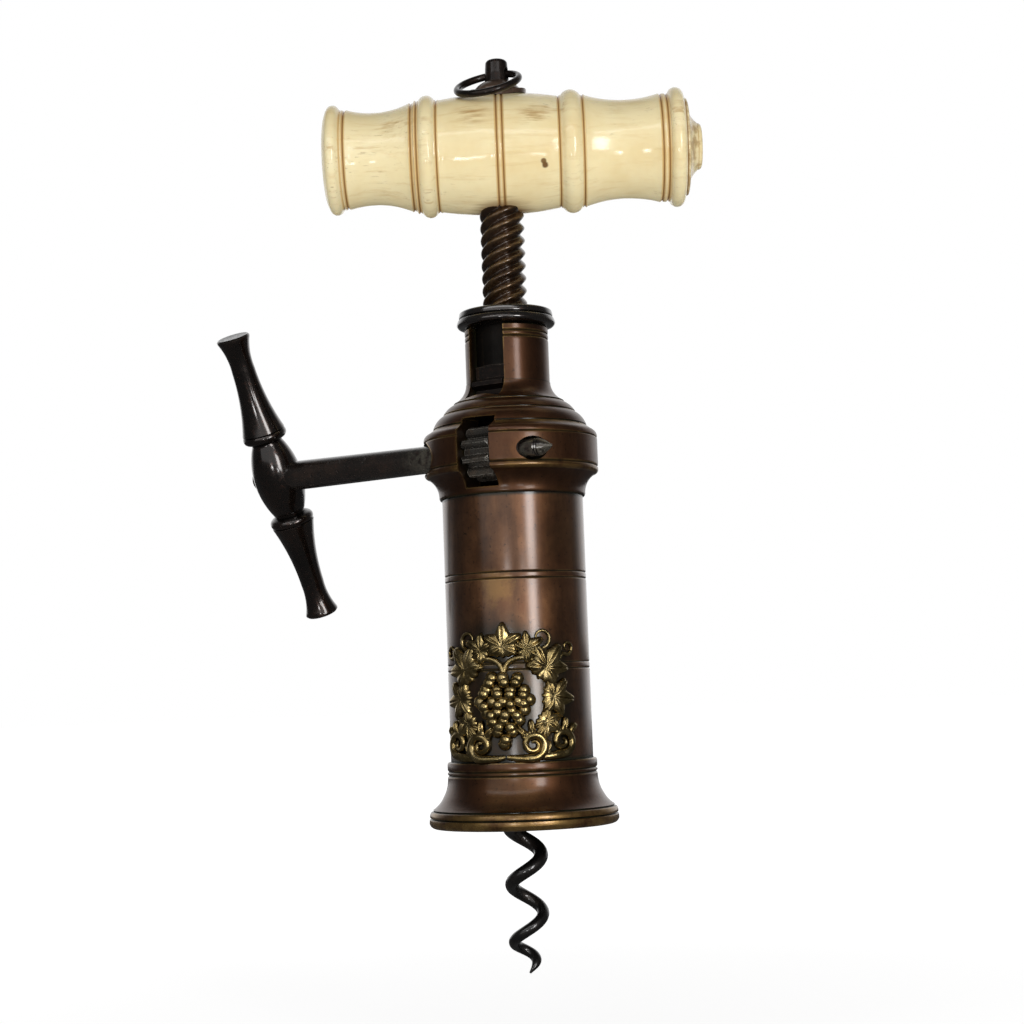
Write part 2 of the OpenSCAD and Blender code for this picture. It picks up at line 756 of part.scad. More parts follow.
// Steel pin that holds the worm in the screw
module worm_pin() {
    color(steel)
    worm_pin_place() cylinder(r = pin_r, h = 2 * (shank_r - 0.15), center = true);
}

// Steps of the worm's coil: rings in one turn and sides of the wire
worm_rings = 24;
worm_sides = 10;
worm_turns = worm_len / worm_pitch;
// Height at which the coil stands furthest to the side, and that side's direction
worm_mark_z = -5.95;
worm_mark_turn = 34;

// Smooth step from 0 to 1
function ease(t) = let (u = min(1, max(0, t))) u * u * (3 - 2 * u);

// Direction of the worm's wire after u turns from its point, which hooks in a little
function worm_turn(u) =
    worm_mark_turn + 360 * (worm_tip + worm_pitch * u - worm_mark_z) / worm_pitch
    - 90 * pow(max(0, 1 - 2 * u), 1.2);

// Middle of the worm's wire after u turns from its point
function worm_at(u) =
    let (
        open = 0.3 + 0.7 * ease(u / 0.6),
        close = ease((worm_turns - u) / 0.55),
        r = worm_mid_r * open * close
    )
    [r * cos(worm_turn(u)), r * sin(worm_turn(u)), worm_tip + worm_pitch * u];

// Radius of the worm's wire, which thins downwards and ends in a point
function worm_wire(u) = wire_r * min(1, 0.66 + 0.14 * u) * (0.12 + 0.88 * ease(0.2 + u / 0.3));

// Ring of points across the wire
function worm_ring(u) =
    let (
        p = worm_at(u),
        step = worm_at(u + 0.01) - worm_at(u - 0.01),
        t = step / norm(step),
        side = [cos(worm_turn(u)), sin(worm_turn(u)), 0],
        n0 = side - (side * t) * t,
        n = n0 / norm(n0),
        b = cross(t, n),
        w = worm_wire(u)
    )
    [for (i = [0:worm_sides - 1])
        let (c = 360 * i / worm_sides)
        p + w * (cos(c) * n + sin(c) * b)];

worm_last = ceil(worm_turns * worm_rings);
worm_steps = [for (i = [0:worm_last]) worm_turns * i / worm_last];

// Steel worm: one tapered wire in an open coil, with a straight shank
module worm() {
    rings = [for (u = worm_steps) worm_ring(u)];
    points = [for (r = rings) each r];
    n = worm_sides;
    walls = [for (j = [0:worm_last - 1], i = [0:n - 1])
        let (
            a = j * n + i,
            b = j * n + (i + 1) % n
        )
        each [[a, a + n, b], [b, a + n, b + n]]];
    first_cap = [for (i = [1:n - 2]) [0, i, i + 1]];
    top = worm_last * n;
    last_cap = [for (i = [1:n - 2]) [top, top + i + 1, top + i]];
    color(steel)
    difference() {
        union() {
            polyhedron(points = points, faces = concat(walls, first_cap, last_cap), convexity = 10);
            translate([0, 0, worm_top - 2.6]) cylinder(r = worm_shank_r, h = worm_shank_l + 2.6);
        }
        worm_pin_place() cylinder(r = pin_r + fix_gap, h = far, center = true);
    }
}

// Least gap between the worm's turns, measured on the middle of its wire
worm_mids = [for (u = worm_steps) worm_at(u)];
worm_gap = min([for (i = [0:worm_last], j = [i + worm_rings / 2:worm_last])
    if (worm_steps[i] < worm_turns - 1.1) norm(worm_mids[i] - worm_mids[j]) - 2 * wire_r]);
echo(worm_gap = worm_gap);

// Outline of the bone handle from its left end to its right end
function grip_outline(lines) =
    let (
        deep = lines ? 0.35 : 0,
        half_bead = bead_w / 2,
        low = grip_shoulder_r,
        left_in = bead_at + half_bead + 1.5,
        right_in = left_in,
        left_end = left_arm - 3.6,
        right_end = right_arm - 4.9
    )
    concat(
        arc([plug_r, -left_arm - left_dome_h * 0.75], [left_end_r - 0.7, -left_arm], 0.05, 3),
        arc([left_end_r - 0.5, 0.1 - left_arm], [left_end_r - 0.75, 2.4 - left_arm], 0.3),
        [[left_end_r - 1.1, 2.7 - left_arm], [left_end_r - 1, 3 - left_arm]],
        lines ? groove(left_end_r - 1.05, -left_end, deep) : [],
        arc([left_end_r - 1.1, 0.5 - left_end], [low - 0.55, -left_in],
            -waist_sag(left_end_r - 1.1, low - 0.55, left_waist_r, left_end - left_in)),
        lines ? groove(low - 0.3, 0.4 - left_in, deep) : [],
        lines ? groove(low, 1.2 - left_in, deep) : [],
        arc([low + 0.1, -bead_at - half_bead], [low + 0.1, -bead_at + half_bead], bead_sag(low + 0.1)),
        lines ? groove(low, 0.6 - bead_at + half_bead, deep) : [],
        arc([low, -grip_half], [grip_r, -2], 0.03, 4),
        lines ? groove(grip_r, -0.55, deep) : [],
        lines ? groove(grip_r, 0.55, deep) : [],
        arc([grip_r, 2], [low, grip_half], 0.03, 4),
        lines ? groove(low, bead_at - half_bead - 0.6, deep) : [],
        arc([low + 0.1, bead_at - half_bead], [low + 0.1, bead_at + half_bead], bead_sag(low + 0.1)),
        lines ? groove(low, right_in - 1.2, deep) : [],
        arc([low - 0.3, right_in - 0.2], [low - 0.5, right_end],
            -waist_sag(low - 0.3, low - 0.5, right_waist_r, right_end - right_in)),
        lines ? groove(low - 0.5, right_end + 0.4, deep) : [],
        lines ? groove(low - 0.5, right_end + 1.5, deep) : [],
        arc([low - 0.4, right_end + 2], [right_end_r - 1.1, right_arm - 0.2], end_sag()),
        [[flange_r, right_arm]]
    );

// Sag of the arc that draws a waist in between two radii over a length
function waist_sag(r0, r1, waist, length) = ((r0 + r1) / 2 - waist) / length;

// Sag of the arc that swells a bead from its foot radius
function bead_sag(foot) = (bead_r - foot) / bead_w;

// Sag of the arc that swells the right end
function end_sag() = (right_end_r - (grip_shoulder_r + right_end_r) / 2 + 0.75) / 2.7;

// Turned form of the handle, with or without its scribed lines
module grip_form(lines) {
    rotate_extrude()
    polygon(concat([[0, right_arm], [0, -left_arm - left_dome_h * 0.75]], grip_outline(lines)));
}

// Bone handle, turned in one piece and bored for the tang
module handle_grip() {
    color(bone)
    difference() {
        on_handle() grip_form(true);
        translate([0, 0, seat_z - 0.5]) cylinder(r = tang_r + fix_gap, h = far);
        translate([0, 0, seat_z - far]) cylinder(r = screw_r + fix_gap, h = far);
        on_handle() translate([0, 0, -far - left_arm + plug_l]) cylinder(r = plug_r + fix_gap, h = far);
        on_handle() translate([0, 0, right_arm - plug_l]) cylinder(r = plug_r + fix_gap, h = far);
    }
}

// Bone plug that closes the hollow at the left end
module left_end_plug() {
    color(bone)
    on_handle()
    rotate_extrude()
    polygon(concat(
        [[0, -left_arm - left_dome_h]],
        arc([1, -left_arm - left_dome_h], [plug_r, -left_arm - left_dome_h * 0.7], 0.02, 3),
        [[plug_r, plug_l - left_arm - rest_gap], [0, plug_l - left_arm - rest_gap]]
    ));
}

// Bone plug with a worn button on the right end
module right_end_plug() {
    color(bone)
    on_handle()
    translate([0, 0, right_arm])
    rotate_extrude()
    polygon(concat(
        [[0, rest_gap - plug_l], [plug_r, rest_gap - plug_l], [plug_r, fix_gap]],
        [[flange_r - 0.4, fix_gap], [flange_r - 0.2, 0.3]],
        arc([flange_r - 0.4, 0.5], [button_r + 0.1, button_h * 0.75], -0.1),
        arc([button_r, button_h * 0.78], [button_r - 0.8, button_h], 0.18, 4),
        [[0, button_h]]
    ));
}

// Domed steel washer that is bent over the handle's crown
module domed_washer() {
    rim_z = crown_z + washer_t;
    color(steel)
    difference() {
        union() {
            intersection() {
                translate([0, 0, handle_z]) cylinder(r = washer_r, h = far);
                on_handle() cylinder(r = grip_r + washer_t, h = 4 * washer_r, center = true);
            }
            translate([0, 0, rim_z - washer_t])
            rotate_extrude()
            polygon(concat(
                [[0, -2], [washer_r - 0.9, -2]],
                arc([washer_r - 0.9, washer_t * 0.7], [post_r + 0.3, washer_t + washer_dome], 0.08),
                [[0, washer_t + washer_dome]]
            ));
        }
        translate([0, 0, fix_gap]) on_handle() grip_form(false);
        translate([0, 0, handle_z]) cylinder(r = stem_r + fix_gap, h = far);
    }
}

// Steel post that is screwed into the tang and carries the hanging ring
module ring_post() {
    flare = 1.05;
    wire_bend = ring_mid_r - sqrt(ring_mid_r * ring_mid_r - post_r * post_r);
    hole_r = ring_wire_r + run_gap;
    mouth_r = hole_r + flare * wire_bend;
    color(steel)
    difference() {
        translate([0, 0, washer_top])
        rotate_extrude()
        polygon(concat(
            [[0, -washer_top + crown_z - stem_l], [stem_r, -washer_top + crown_z - stem_l]],
            [[stem_r, fix_gap], [post_r, fix_gap], [post_r - 0.05, hole_up]],
            arc([post_r - 0.2, post_h - 0.8], [post_r - 0.9, post_h], 0.2, 4),
            [[0, post_h]]
        ));
        // The hole is wider at both mouths, so that the bent wire can swing in it
        translate([0, 0, hole_z]) rotate([0, 0, ring_yaw]) along_x()
        rotate_extrude()
        polygon([
            [0, -post_r], [mouth_r, -post_r], [hole_r + wire_bend / 4, -post_r / 2], [hole_r, -0.3],
            [hole_r, 0.3], [hole_r + wire_bend / 4, post_r / 2], [mouth_r, post_r], [0, post_r]
        ]);
    }
}

// Steel ring that swings in the post and lies against the handle
module hanging_ring() {
    color(steel)
    translate([0, 0, hole_z])
    rotate([0, 0, ring_yaw])
    rotate([ring_dip, 0, 0])
    translate([0, -ring_mid_r, 0])
    rotate_extrude() translate([ring_mid_r, 0]) circle(r = ring_wire_r);
}

barrel_tube();
bell_mouth();
shoulder_cap();
brass_spray();
collar_nut();
rack_sleeve();
rack_bar();
rack_rivets();
pinion();
pinion_pin();
pinion_shaft();
side_handle();
stop_ring();
screw_spindle();
worm();
worm_pin();
handle_grip();
left_end_plug();
right_end_plug();
domed_washer();
ring_post();
hanging_ring();
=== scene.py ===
import bpy
import bmesh
import math
from mathutils import Matrix, Vector


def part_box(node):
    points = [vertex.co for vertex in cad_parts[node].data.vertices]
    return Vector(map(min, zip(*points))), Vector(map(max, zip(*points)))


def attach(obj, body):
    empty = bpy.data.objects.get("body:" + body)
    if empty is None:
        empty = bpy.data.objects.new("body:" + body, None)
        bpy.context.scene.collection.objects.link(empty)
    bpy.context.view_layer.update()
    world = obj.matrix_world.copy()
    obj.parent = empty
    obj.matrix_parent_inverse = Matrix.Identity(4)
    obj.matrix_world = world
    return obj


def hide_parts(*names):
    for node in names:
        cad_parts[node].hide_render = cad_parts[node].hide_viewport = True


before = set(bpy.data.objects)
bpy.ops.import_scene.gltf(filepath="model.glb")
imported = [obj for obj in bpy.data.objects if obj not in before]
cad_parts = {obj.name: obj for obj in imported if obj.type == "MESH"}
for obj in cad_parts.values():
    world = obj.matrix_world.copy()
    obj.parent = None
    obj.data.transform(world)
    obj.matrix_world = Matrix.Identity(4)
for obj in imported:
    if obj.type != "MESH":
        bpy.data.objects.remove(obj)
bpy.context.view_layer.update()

# Barrel tube: a length of bronze tube, turned and browned, with two pairs of scribed lines.
# It is soldered into the bell below and over the cap's spigot above.
MM = 0.001
TURN = 2 * math.pi


def mm_box(name):
    """A CAD node's lowest and highest corners in millimetres."""
    low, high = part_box(name)
    return low / MM, high / MM


def arc(start, end, sag, count=8, wear_and_sheen=0.0):
    """Points from start to end along an arc that stands out by sag times its chord."""
    start, end = Vector(start), Vector(end)
    chord = end - start
    along = chord.normalized()
    out = Vector((along.y, -along.x))
    half = 2 * math.atan(2 * sag)
    radius = chord.length / 2 / math.sin(half)
    points = []
    for step in range(count + 1):
        t = half * (2 * step / count - 1)
        reach = along * radius * math.sin(t) + out * radius * (math.cos(t) - math.cos(half))
        points.append((*((start + end) / 2 + reach), wear_and_sheen))
    return points


def scribed(radius, height, depth=0.22):
    """A scribed line across an outline: rubbed lips, partly a painted highlight, and grime in its bottom."""
    # The lips' worn mark is rubbed gold, and partly a painted highlight of the lit bead.
    return [
        (radius, height - 2 * depth),
        (radius - 0.15 * depth, height - depth, 0.42),
        (radius - depth, height, 0.1, 0.85),
        (radius - 0.15 * depth, height + depth, 0.42),
        (radius, height + 2 * depth),
    ]


def turned(outline, closed=False, steps=192, place=Matrix()):
    """Spins an outline of (radius, height, wear, grime) points in mm about the Z axis."""
    bm = bmesh.new()
    marks = [bm.verts.layers.float.new(name) for name in ("wear_and_sheen", "grime")]
    line = []
    for radius, height, *values in outline:
        vert = bm.verts.new((radius * MM, 0, height * MM))
        for layer, value in zip(marks, values):
            vert[layer] = value
        line.append(vert)
    edges = [bm.edges.new(pair) for pair in zip(line, line[1:])]
    if closed:
        edges.append(bm.edges.new((line[-1], line[0])))
    bmesh.ops.spin(
        bm, geom=line + edges, cent=(0, 0, 0), axis=(0, 0, 1), angle=TURN, steps=steps, use_merge=True
    )
    bmesh.ops.remove_doubles(bm, verts=bm.verts, dist=MM * 1e-3)
    bmesh.ops.dissolve_degenerate(bm, edges=bm.edges, dist=MM * 1e-3)
    bmesh.ops.recalc_face_normals(bm, faces=bm.faces)
    bmesh.ops.transform(bm, matrix=place, verts=bm.verts)
    return bm


CREASE = 38


def piece(bm, name, body, finish, stands_for, crease=CREASE):
    """Makes a bmesh a smooth object that rides on a body and stands for CAD nodes."""
    mesh = bpy.data.meshes.new(name)
    bm.to_mesh(mesh)
    bm.free()
    mesh.shade_smooth()
    mesh.set_sharp_from_angle(angle=math.radians(crease))
    mesh.materials.append(finish)
    made = bpy.data.objects.new(name, mesh)
    bpy.context.scene.collection.objects.link(made)
    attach(made, body)
    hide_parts(*stands_for)
    return made


def node(tree, kind, inputs=None, **settings):
    """Adds a shader node and sets or links its inputs."""
    made = tree.nodes.new("ShaderNode" + kind)
    for key, value in settings.items():
        setattr(made, key, value)
    for key, value in (inputs or {}).items():
        if isinstance(value, bpy.types.NodeSocket):
            tree.links.new(value, made.inputs[key])
        else:
            made.inputs[key].default_value = value
    return made


def object_coords(tree, stretch=(1, 1, 1), turn=(0, 0, 0)):
    """Object coordinates, turned and then stretched."""
    coords = node(tree, "TexCoord").outputs["Object"]
    turned_coords = node(tree, "Mapping", {"Vector": coords, "Rotation": turn}).outputs[0]
    return node(tree, "Mapping", {"Vector": turned_coords, "Scale": stretch}).outputs[0]


def cloud(tree, coords, scale, detail=4.0, rough=0.6):
    """The value of a noise pattern with so many spots per metre."""
    inputs = {"Vector": coords, "Scale": scale, "Detail": detail, "Roughness": rough}
    return node(tree, "TexNoise", inputs).outputs[0]


def ramp(tree, value, *stops):
    """A colour ramp through (place, colour) stops."""
    made = node(tree, "ValToRGB", {"Fac": value})
    band = made.color_ramp
    while len(band.elements) < len(stops):
        band.elements.new(0.5)
    for element, (place, colour) in zip(band.elements, stops):
        element.position = place
        element.color = (*colour, 1)
    return made.outputs[0]


def level(tree, value, low, high, out_low=0.0, out_high=1.0):
    """Maps the stretch from low to high smoothly to out_low to out_high."""
    inputs = {"Value": value, "From Min": low, "From Max": high, "To Min": out_low, "To Max": out_high}
    return node(tree, "MapRange", inputs, interpolation_type="SMOOTHSTEP").outputs[0]


def figure(tree, operation, first, second):
    """One sum of two values, kept between 0 and 1."""
    return node(tree, "Math", {0: first, 1: second}, operation=operation, use_clamp=True).outputs[0]


def times(tree, first, second):
    """The product of two values, kept between 0 and 1."""
    return figure(tree, "MULTIPLY", first, second)


def over(tree, share, under, top):
    """Lays one colour over another by a share."""
    return node(tree, "Mix", {0: share, 6: under, 7: top}, data_type="RGBA").outputs[2]


def mark(tree, name):
    """A mesh's own mark, such as its wear."""
    return node(tree, "Attribute", attribute_name=name).outputs["Fac"]


def crevice(tree, reach):
    """How deep a place lies in a corner, from 0 in the open to 1."""
    made = node(tree, "AmbientOcclusion", {"Distance": reach}, samples=6)
    return figure(tree, "SUBTRACT", 1.0, made.outputs["AO"])


def sharp_edge(tree, reach):
    """How near a place lies to a sharp edge, from 0 to 1."""
    soft = node(tree, "Bevel", {"Radius": reach}, samples=4).outputs[0]
    plain = node(tree, "NewGeometry").outputs["Normal"]
    dot = node(tree, "VectorMath", {0: soft, 1: plain}, operation="DOT_PRODUCT").outputs["Value"]
    return level(tree, figure(tree, "SUBTRACT", 1.0, dot), 0.02, 0.16)


def ragged_reach(tree, coords, spot, noise, raggedness):
    """The distance from a spot in metres, with noise to make a ragged rim."""
    apart = node(tree, "VectorMath", {0: coords, 1: spot}, operation="DISTANCE").outputs["Value"]
    return figure(tree, "ADD", apart, times(tree, noise, raggedness))


def bump(tree, height, distance, strength=1.0, normal=None):
    """A bump normal from a height."""
    inputs = {"Height": height, "Distance": distance, "Strength": strength}
    if normal:
        inputs["Normal"] = normal
    return node(tree, "Bump", inputs).outputs[0]


def new_finish(name):
    """A material, its node tree and its shader."""
    finish = bpy.data.materials.new(name)
    finish.use_nodes = True
    return finish, finish.node_tree, finish.node_tree.nodes["Principled BSDF"]


def browned_bronze(name, cut_edges=False, stain_at=None, gilt_at=None, tint=None, wax=1.0):
    """Brown bronze: clouded patina under wax, gold where rubbed, green grime and painted shade in its
    corners.
    """
    finish, tree, shader = new_finish(name)
    coords = object_coords(tree)
    upright = object_coords(tree, stretch=(1, 1, 0.16))
    round_about = object_coords(tree, stretch=(0.02, 0.02, 1))
    clouds = cloud(tree, coords, 75, 5, 0.62)
    streaks = cloud(tree, upright, 330, 4, 0.6)
    specks = cloud(tree, coords, 1500, 3, 0.6)
    lathe = cloud(tree, round_about, 5200, 2, 0.5)

    tone = ramp(
        tree, clouds,
        (0.30, (0.062, 0.0240, 0.0088)),
        (0.46, (0.118, 0.0490, 0.0190)),
        (0.60, (0.185, 0.0820, 0.0335)),
        (0.76, (0.138, 0.0480, 0.0172)),
    )
    if tint:
        share, colour = tint
        tone = over(tree, share, tone, colour)
    darker = level(tree, streaks, 0.40, 0.66, 0.0, 0.5)
    tone = over(tree, darker, tone, (0.040, 0.0165, 0.0065, 1))
    golden = level(tree, cloud(tree, coords, 42, 3, 0.5), 0.58, 0.72, 0.0, 0.3)
    tone = over(tree, golden, tone, (0.25, 0.135, 0.045, 1))
    tone = over(tree, level(tree, specks, 0.60, 0.72, 0.0, 0.6), tone, (0.012, 0.007, 0.004, 1))
    # Painted shade and dark stain: the bronze goes nearly black within about 6 mm of other parts.
    stain_and_shade_round = level(tree, crevice(tree, 0.006), 0.05, 0.38, 0.0, 0.75)
    tone = over(tree, stain_and_shade_round, tone, (0.014, 0.0125, 0.0075, 1))
    if stain_at:
        spread = ragged_reach(tree, coords, stain_at, cloud(tree, coords, 160, 4, 0.6), 0.008)
        stain = level(tree, spread, 0.0160, 0.0215, 0.62, 0.0)
        tone = over(tree, stain, tone, (0.013, 0.0145, 0.0080, 1))
    if gilt_at:
        spread = ragged_reach(tree, coords, gilt_at, cloud(tree, coords, 320, 4, 0.65), 0.008)
        patch = level(tree, spread, 0.0045, 0.0085, 0.6, 0.0)
        tone = over(tree, patch, tone, (0.36, 0.195, 0.055, 1))

    rubbed = mark(tree, "wear_and_sheen")
    if cut_edges:
        across = node(tree, "SeparateXYZ", {0: coords}).outputs["X"]
        left_side = level(tree, across, 0.001, 0.007, 1.0, 0.0)
        gilt = times(tree, sharp_edge(tree, 0.0005), left_side)
        rubbed = figure(tree, "MAXIMUM", rubbed, gilt)
        worn_streaks = level(tree, streaks, 0.42, 0.60, 0.0, 0.45)
        handled = times(tree, sharp_edge(tree, 0.0018), worn_streaks)
        tone = over(tree, handled, tone, (0.20, 0.088, 0.026, 1))
    broken = level(tree, cloud(tree, coords, 190, 4, 0.65), 0.30, 0.66)
    rubbed = times(tree, rubbed, broken)
    tone = over(tree, rubbed, tone, (0.46, 0.29, 0.092, 1))

    # Painted shade: corners within 1.6 mm go nearly black, on top of the mesh's grime marks; the green
    # patina follows the same mask.
    deep = level(tree, crevice(tree, 0.0016), 0.34, 0.80)
    grime_and_shade = figure(tree, "MAXIMUM", mark(tree, "grime"), deep)
    patchy = level(tree, cloud(tree, coords, 260, 4, 0.7), 0.34, 0.62)
    tone = over(tree, times(tree, grime_and_shade, 0.92), tone, (0.008, 0.006, 0.004, 1))
    green = times(tree, times(tree, grime_and_shade, patchy), 0.35)
    tone = over(tree, green, tone, (0.045, 0.060, 0.030, 1))

    tree.links.new(tone, shader.inputs["Base Color"])
    shader.inputs["Metallic"].default_value = 0.9
    shader.inputs["Specular IOR Level"].default_value = 0.0
    rough = level(tree, clouds, 0.3, 0.75, 0.37, 0.46)
    rough = figure(tree, "ADD", rough, times(tree, grime_and_shade, 0.4))
    rough = figure(tree, "SUBTRACT", rough, times(tree, rubbed, 0.2))
    tree.links.new(rough, shader.inputs["Roughness"])
    shader.inputs["Coat Weight"].default_value = wax
    shader.inputs["Coat Roughness"].default_value = 0.2
    fine = bump(tree, lathe, 0.000012, 0.8)
    tree.links.new(bump(tree, specks, 0.00002, 0.7, fine), shader.inputs["Normal"])
    return finish


tube_low, tube_high = mm_box("barrel_tube")
tube_r = tube_high.x
TUBE_WALL = 2.1
tube_bore = tube_r - TUBE_WALL
spray_low, spray_high = mm_box("brass_spray")
spray_mid_z = (spray_low.z + spray_high.z) / 2
SPRAY_TURN = math.radians(22)
LINE_PAIRS = (31.1, 32.35, 49.1, 50.35)
GILT_TURN = math.radians(19)
GILT_Z = 47.5


def off_tube(turn, height, off=0.0):
    """The place at a turn from the front, a height and so many mm off the tube."""
    reach = tube_r + off
    return Vector((reach * math.sin(turn), -reach * math.cos(turn), height)) * MM


tube_finish = browned_bronze(
    "stained_bronze", stain_at=off_tube(SPRAY_TURN, spray_mid_z), gilt_at=off_tube(GILT_TURN, GILT_Z)
)

BELL_JOINT_Z = 13.2
tube_outline = [(tube_bore, tube_low.z), (tube_r, tube_low.z)]
tube_outline += [(tube_r, BELL_JOINT_Z, 0, 1), (tube_r, BELL_JOINT_Z + 0.8)]
for line_z in LINE_PAIRS:
    tube_outline += scribed(tube_r, line_z, 0.17)
tube_outline += [(tube_r, tube_high.z - 0.7), (tube_r, tube_high.z, 0, 1), (tube_bore, tube_high.z)]
piece(turned(tube_outline, closed=True), "tube", "barrel", tube_finish, ["barrel_tube"])

# Bell mouth: a flared bronze foot, turned with a double rim below and a beaded ring above.
# The tube is soldered into it, and a ledge inside stops on the bottle's lip.
_, bell_high = mm_box("bell_mouth")
bell_r = bell_high.x
bell_top = bell_high.z
LEDGE_Z = 6.0
BOTTLE_R = 14.6
BELL_RING_R = 15.1
SOLDER_GAP = 0.03
bell_finish = browned_bronze("red_bronze", tint=(0.6, (0.058, 0.0195, 0.0075, 1)), wax=0.55)

bell_outline = [(BOTTLE_R + 1.5, 0)]
bell_outline += arc((bell_r - 1.4, 0), (bell_r, 1.05), 0.2, wear_and_sheen=0.7)
bell_outline += [(bell_r - 0.06, 1.75, 0.6), (bell_r - 0.35, 1.95, 0, 1), (bell_r - 0.4, 2.05, 0, 1)]
bell_outline += arc((bell_r - 0.15, 2.2), (bell_r - 0.4, 3.25), 0.1, wear_and_sheen=0.5)
bell_outline += [(bell_r - 0.95, 3.45, 0, 1), (bell_r - 0.95, 3.55, 0, 1)]
bell_outline += arc((bell_r - 0.8, 3.7), (BOTTLE_R + 1.6, LEDGE_Z), -0.07)
bell_outline += arc((BOTTLE_R + 1.6, LEDGE_Z), (BELL_RING_R, 9.95), -0.07)[1:]
bell_outline += scribed(BELL_RING_R, 10.4, 0.26)
bell_outline += scribed(BELL_RING_R, 11.2, 0.26)
bell_outline += [(BELL_RING_R, bell_top - 0.4), (BELL_RING_R - 0.12, bell_top - 0.12, 0.7)]
bell_outline += [(BELL_RING_R - 0.4, bell_top, 0.3), (tube_r + SOLDER_GAP, bell_top, 0, 1)]
bell_outline += [(tube_r + SOLDER_GAP, tube_low.z), (tube_bore, tube_low.z)]
bell_outline += [(tube_bore, LEDGE_Z), (BOTTLE_R, LEDGE_Z), (BOTTLE_R, 1.5)]
piece(turned(bell_outline, closed=True), "bell", "barrel", bell_finish, ["bell_mouth"])

# Shoulder cap: a heavy bronze turning that houses the pinion: cove, plain band, three stepped
# tiers and a neck. The rack's slot, the pinion's window and the two shaft holes are cut into it.
cap_low, cap_high = mm_box("shoulder_cap")
cap_z = tube_high.z
cap_top = cap_high.z
BAND_R = 17.75
BAND_Z = 70.6
DOME_Z = 78.2
DOME_H = 11.3
NECK_R = 8.56
NECK_BORE = 6.46
SPIGOT_WALL = 1.7
ledge_r = tube_r + 0.45
spigot_r = tube_bore - SOLDER_GAP
spigot_bore = spigot_r - SPIGOT_WALL
cap_finish = browned_bronze(
    "cut_bronze", cut_edges=True, tint=(0.65, (0.050, 0.0195, 0.0100, 1)), wax=0.42
)


def tier(share, rise):
    """A point of the dome by its share of the way out and of the way up."""
    return NECK_R + share * (BAND_R - NECK_R), DOME_Z + rise * DOME_H


cap_outline = [(spigot_bore, cap_low.z), (spigot_r, cap_low.z), (spigot_r, cap_z)]
cap_outline += [(ledge_r - 0.1, cap_z, 0, 1), (ledge_r, cap_z + 0.15, 0, 0.6)]
cap_outline += arc((ledge_r + 0.1, cap_z + 0.45), (BAND_R - 0.8, BAND_Z - 0.15), -0.128, 16)
cap_outline += arc((BAND_R - 0.7, BAND_Z - 0.1), (BAND_R, BAND_Z + 0.7), 0.2, 6, wear_and_sheen=0.35)
cap_outline += scribed(BAND_R, BAND_Z + 1.3, 0.26) + scribed(BAND_R, DOME_Z - 0.4, 0.17)
cap_outline += arc(tier(1, 0), tier(0.9, 0.11), 0.15, 5)
# The tiers' lips carry a strong worn mark: rubbed gold, and partly a painted highlight of the lit edges.
cap_outline += [(*tier(0.785, 0.18), 0.8), (*tier(0.765, 0.188), 0, 1), (*tier(0.765, 0.2), 0, 1)]
cap_outline += arc(tier(0.775, 0.21), tier(0.55, 0.44), 0.1, 8)
cap_outline += [(*tier(0.548, 0.446), 0.8), (*tier(0.525, 0.45), 0, 1), (*tier(0.525, 0.46), 0, 1)]
cap_outline += arc(tier(0.535, 0.47), tier(0.31, 0.635), 0.08, 8)
cap_outline += [(*tier(0.308, 0.641), 0.8), (*tier(0.285, 0.645), 0, 1), (*tier(0.285, 0.655), 0, 1)]
cap_outline += arc(tier(0.295, 0.665), tier(0.01, 0.985), -0.13, 10)
cap_outline += [(*tier(0.01, 1), 0, 0.5), tier(0, 1), (NECK_R, cap_top - 3.6)]
cap_outline += scribed(NECK_R, cap_top - 2.6, 0.22) + scribed(NECK_R, cap_top - 1.5, 0.22)
cap_outline += [(NECK_R, cap_top - 0.3), (NECK_R - 0.3, cap_top, 0, 1)]
cap_outline += [(NECK_BORE, cap_top), (NECK_BORE, cap_z + 0.4), (spigot_bore, cap_z + 0.4)]

pinion_low, pinion_high = mm_box("pinion")
shaft_low, shaft_high = mm_box("pinion_shaft")
axis_y = (shaft_low.y + shaft_high.y) / 2
axis_z = (shaft_low.z + shaft_high.z) / 2
pinion_x = (pinion_low.x + pinion_high.x) / 2
pinion_tip = pinion_high.y - axis_y
WINDOW_ROOM = 1.4
WINDOW_SIDE_ROOM = 0.3
window_half = (pinion_high.x - pinion_low.x) / 2 + WINDOW_SIDE_ROOM
WINDOW_BACK_Y = -6
SLOT_HALF = 4.15
slot_deep = NECK_R + 1.4
JOURNAL_R = 3.6
RUNNING_GAP = 0.06
SMALL_HOLE_R = 2.36
FAR = 60.0


def cutter(bm):
    """An object to cut with, out of sight."""
    mesh = bpy.data.meshes.new("cutter")
    bm.to_mesh(mesh)
    bm.free()
    made = bpy.data.objects.new("cutter", mesh)
    bpy.context.scene.collection.objects.link(made)
    return made


def block(low, high):
    """A cutter block between two corners in mm."""
    bm = bmesh.new()
    bmesh.ops.create_cube(bm, size=MM)
    middle = (Vector(low) + Vector(high)) / 2 * MM
    size = Vector(high) - Vector(low)
    place = Matrix.Translation(middle) @ Matrix.Diagonal((*size, 1))
    bmesh.ops.transform(bm, matrix=place, verts=bm.verts)
    return cutter(bm)


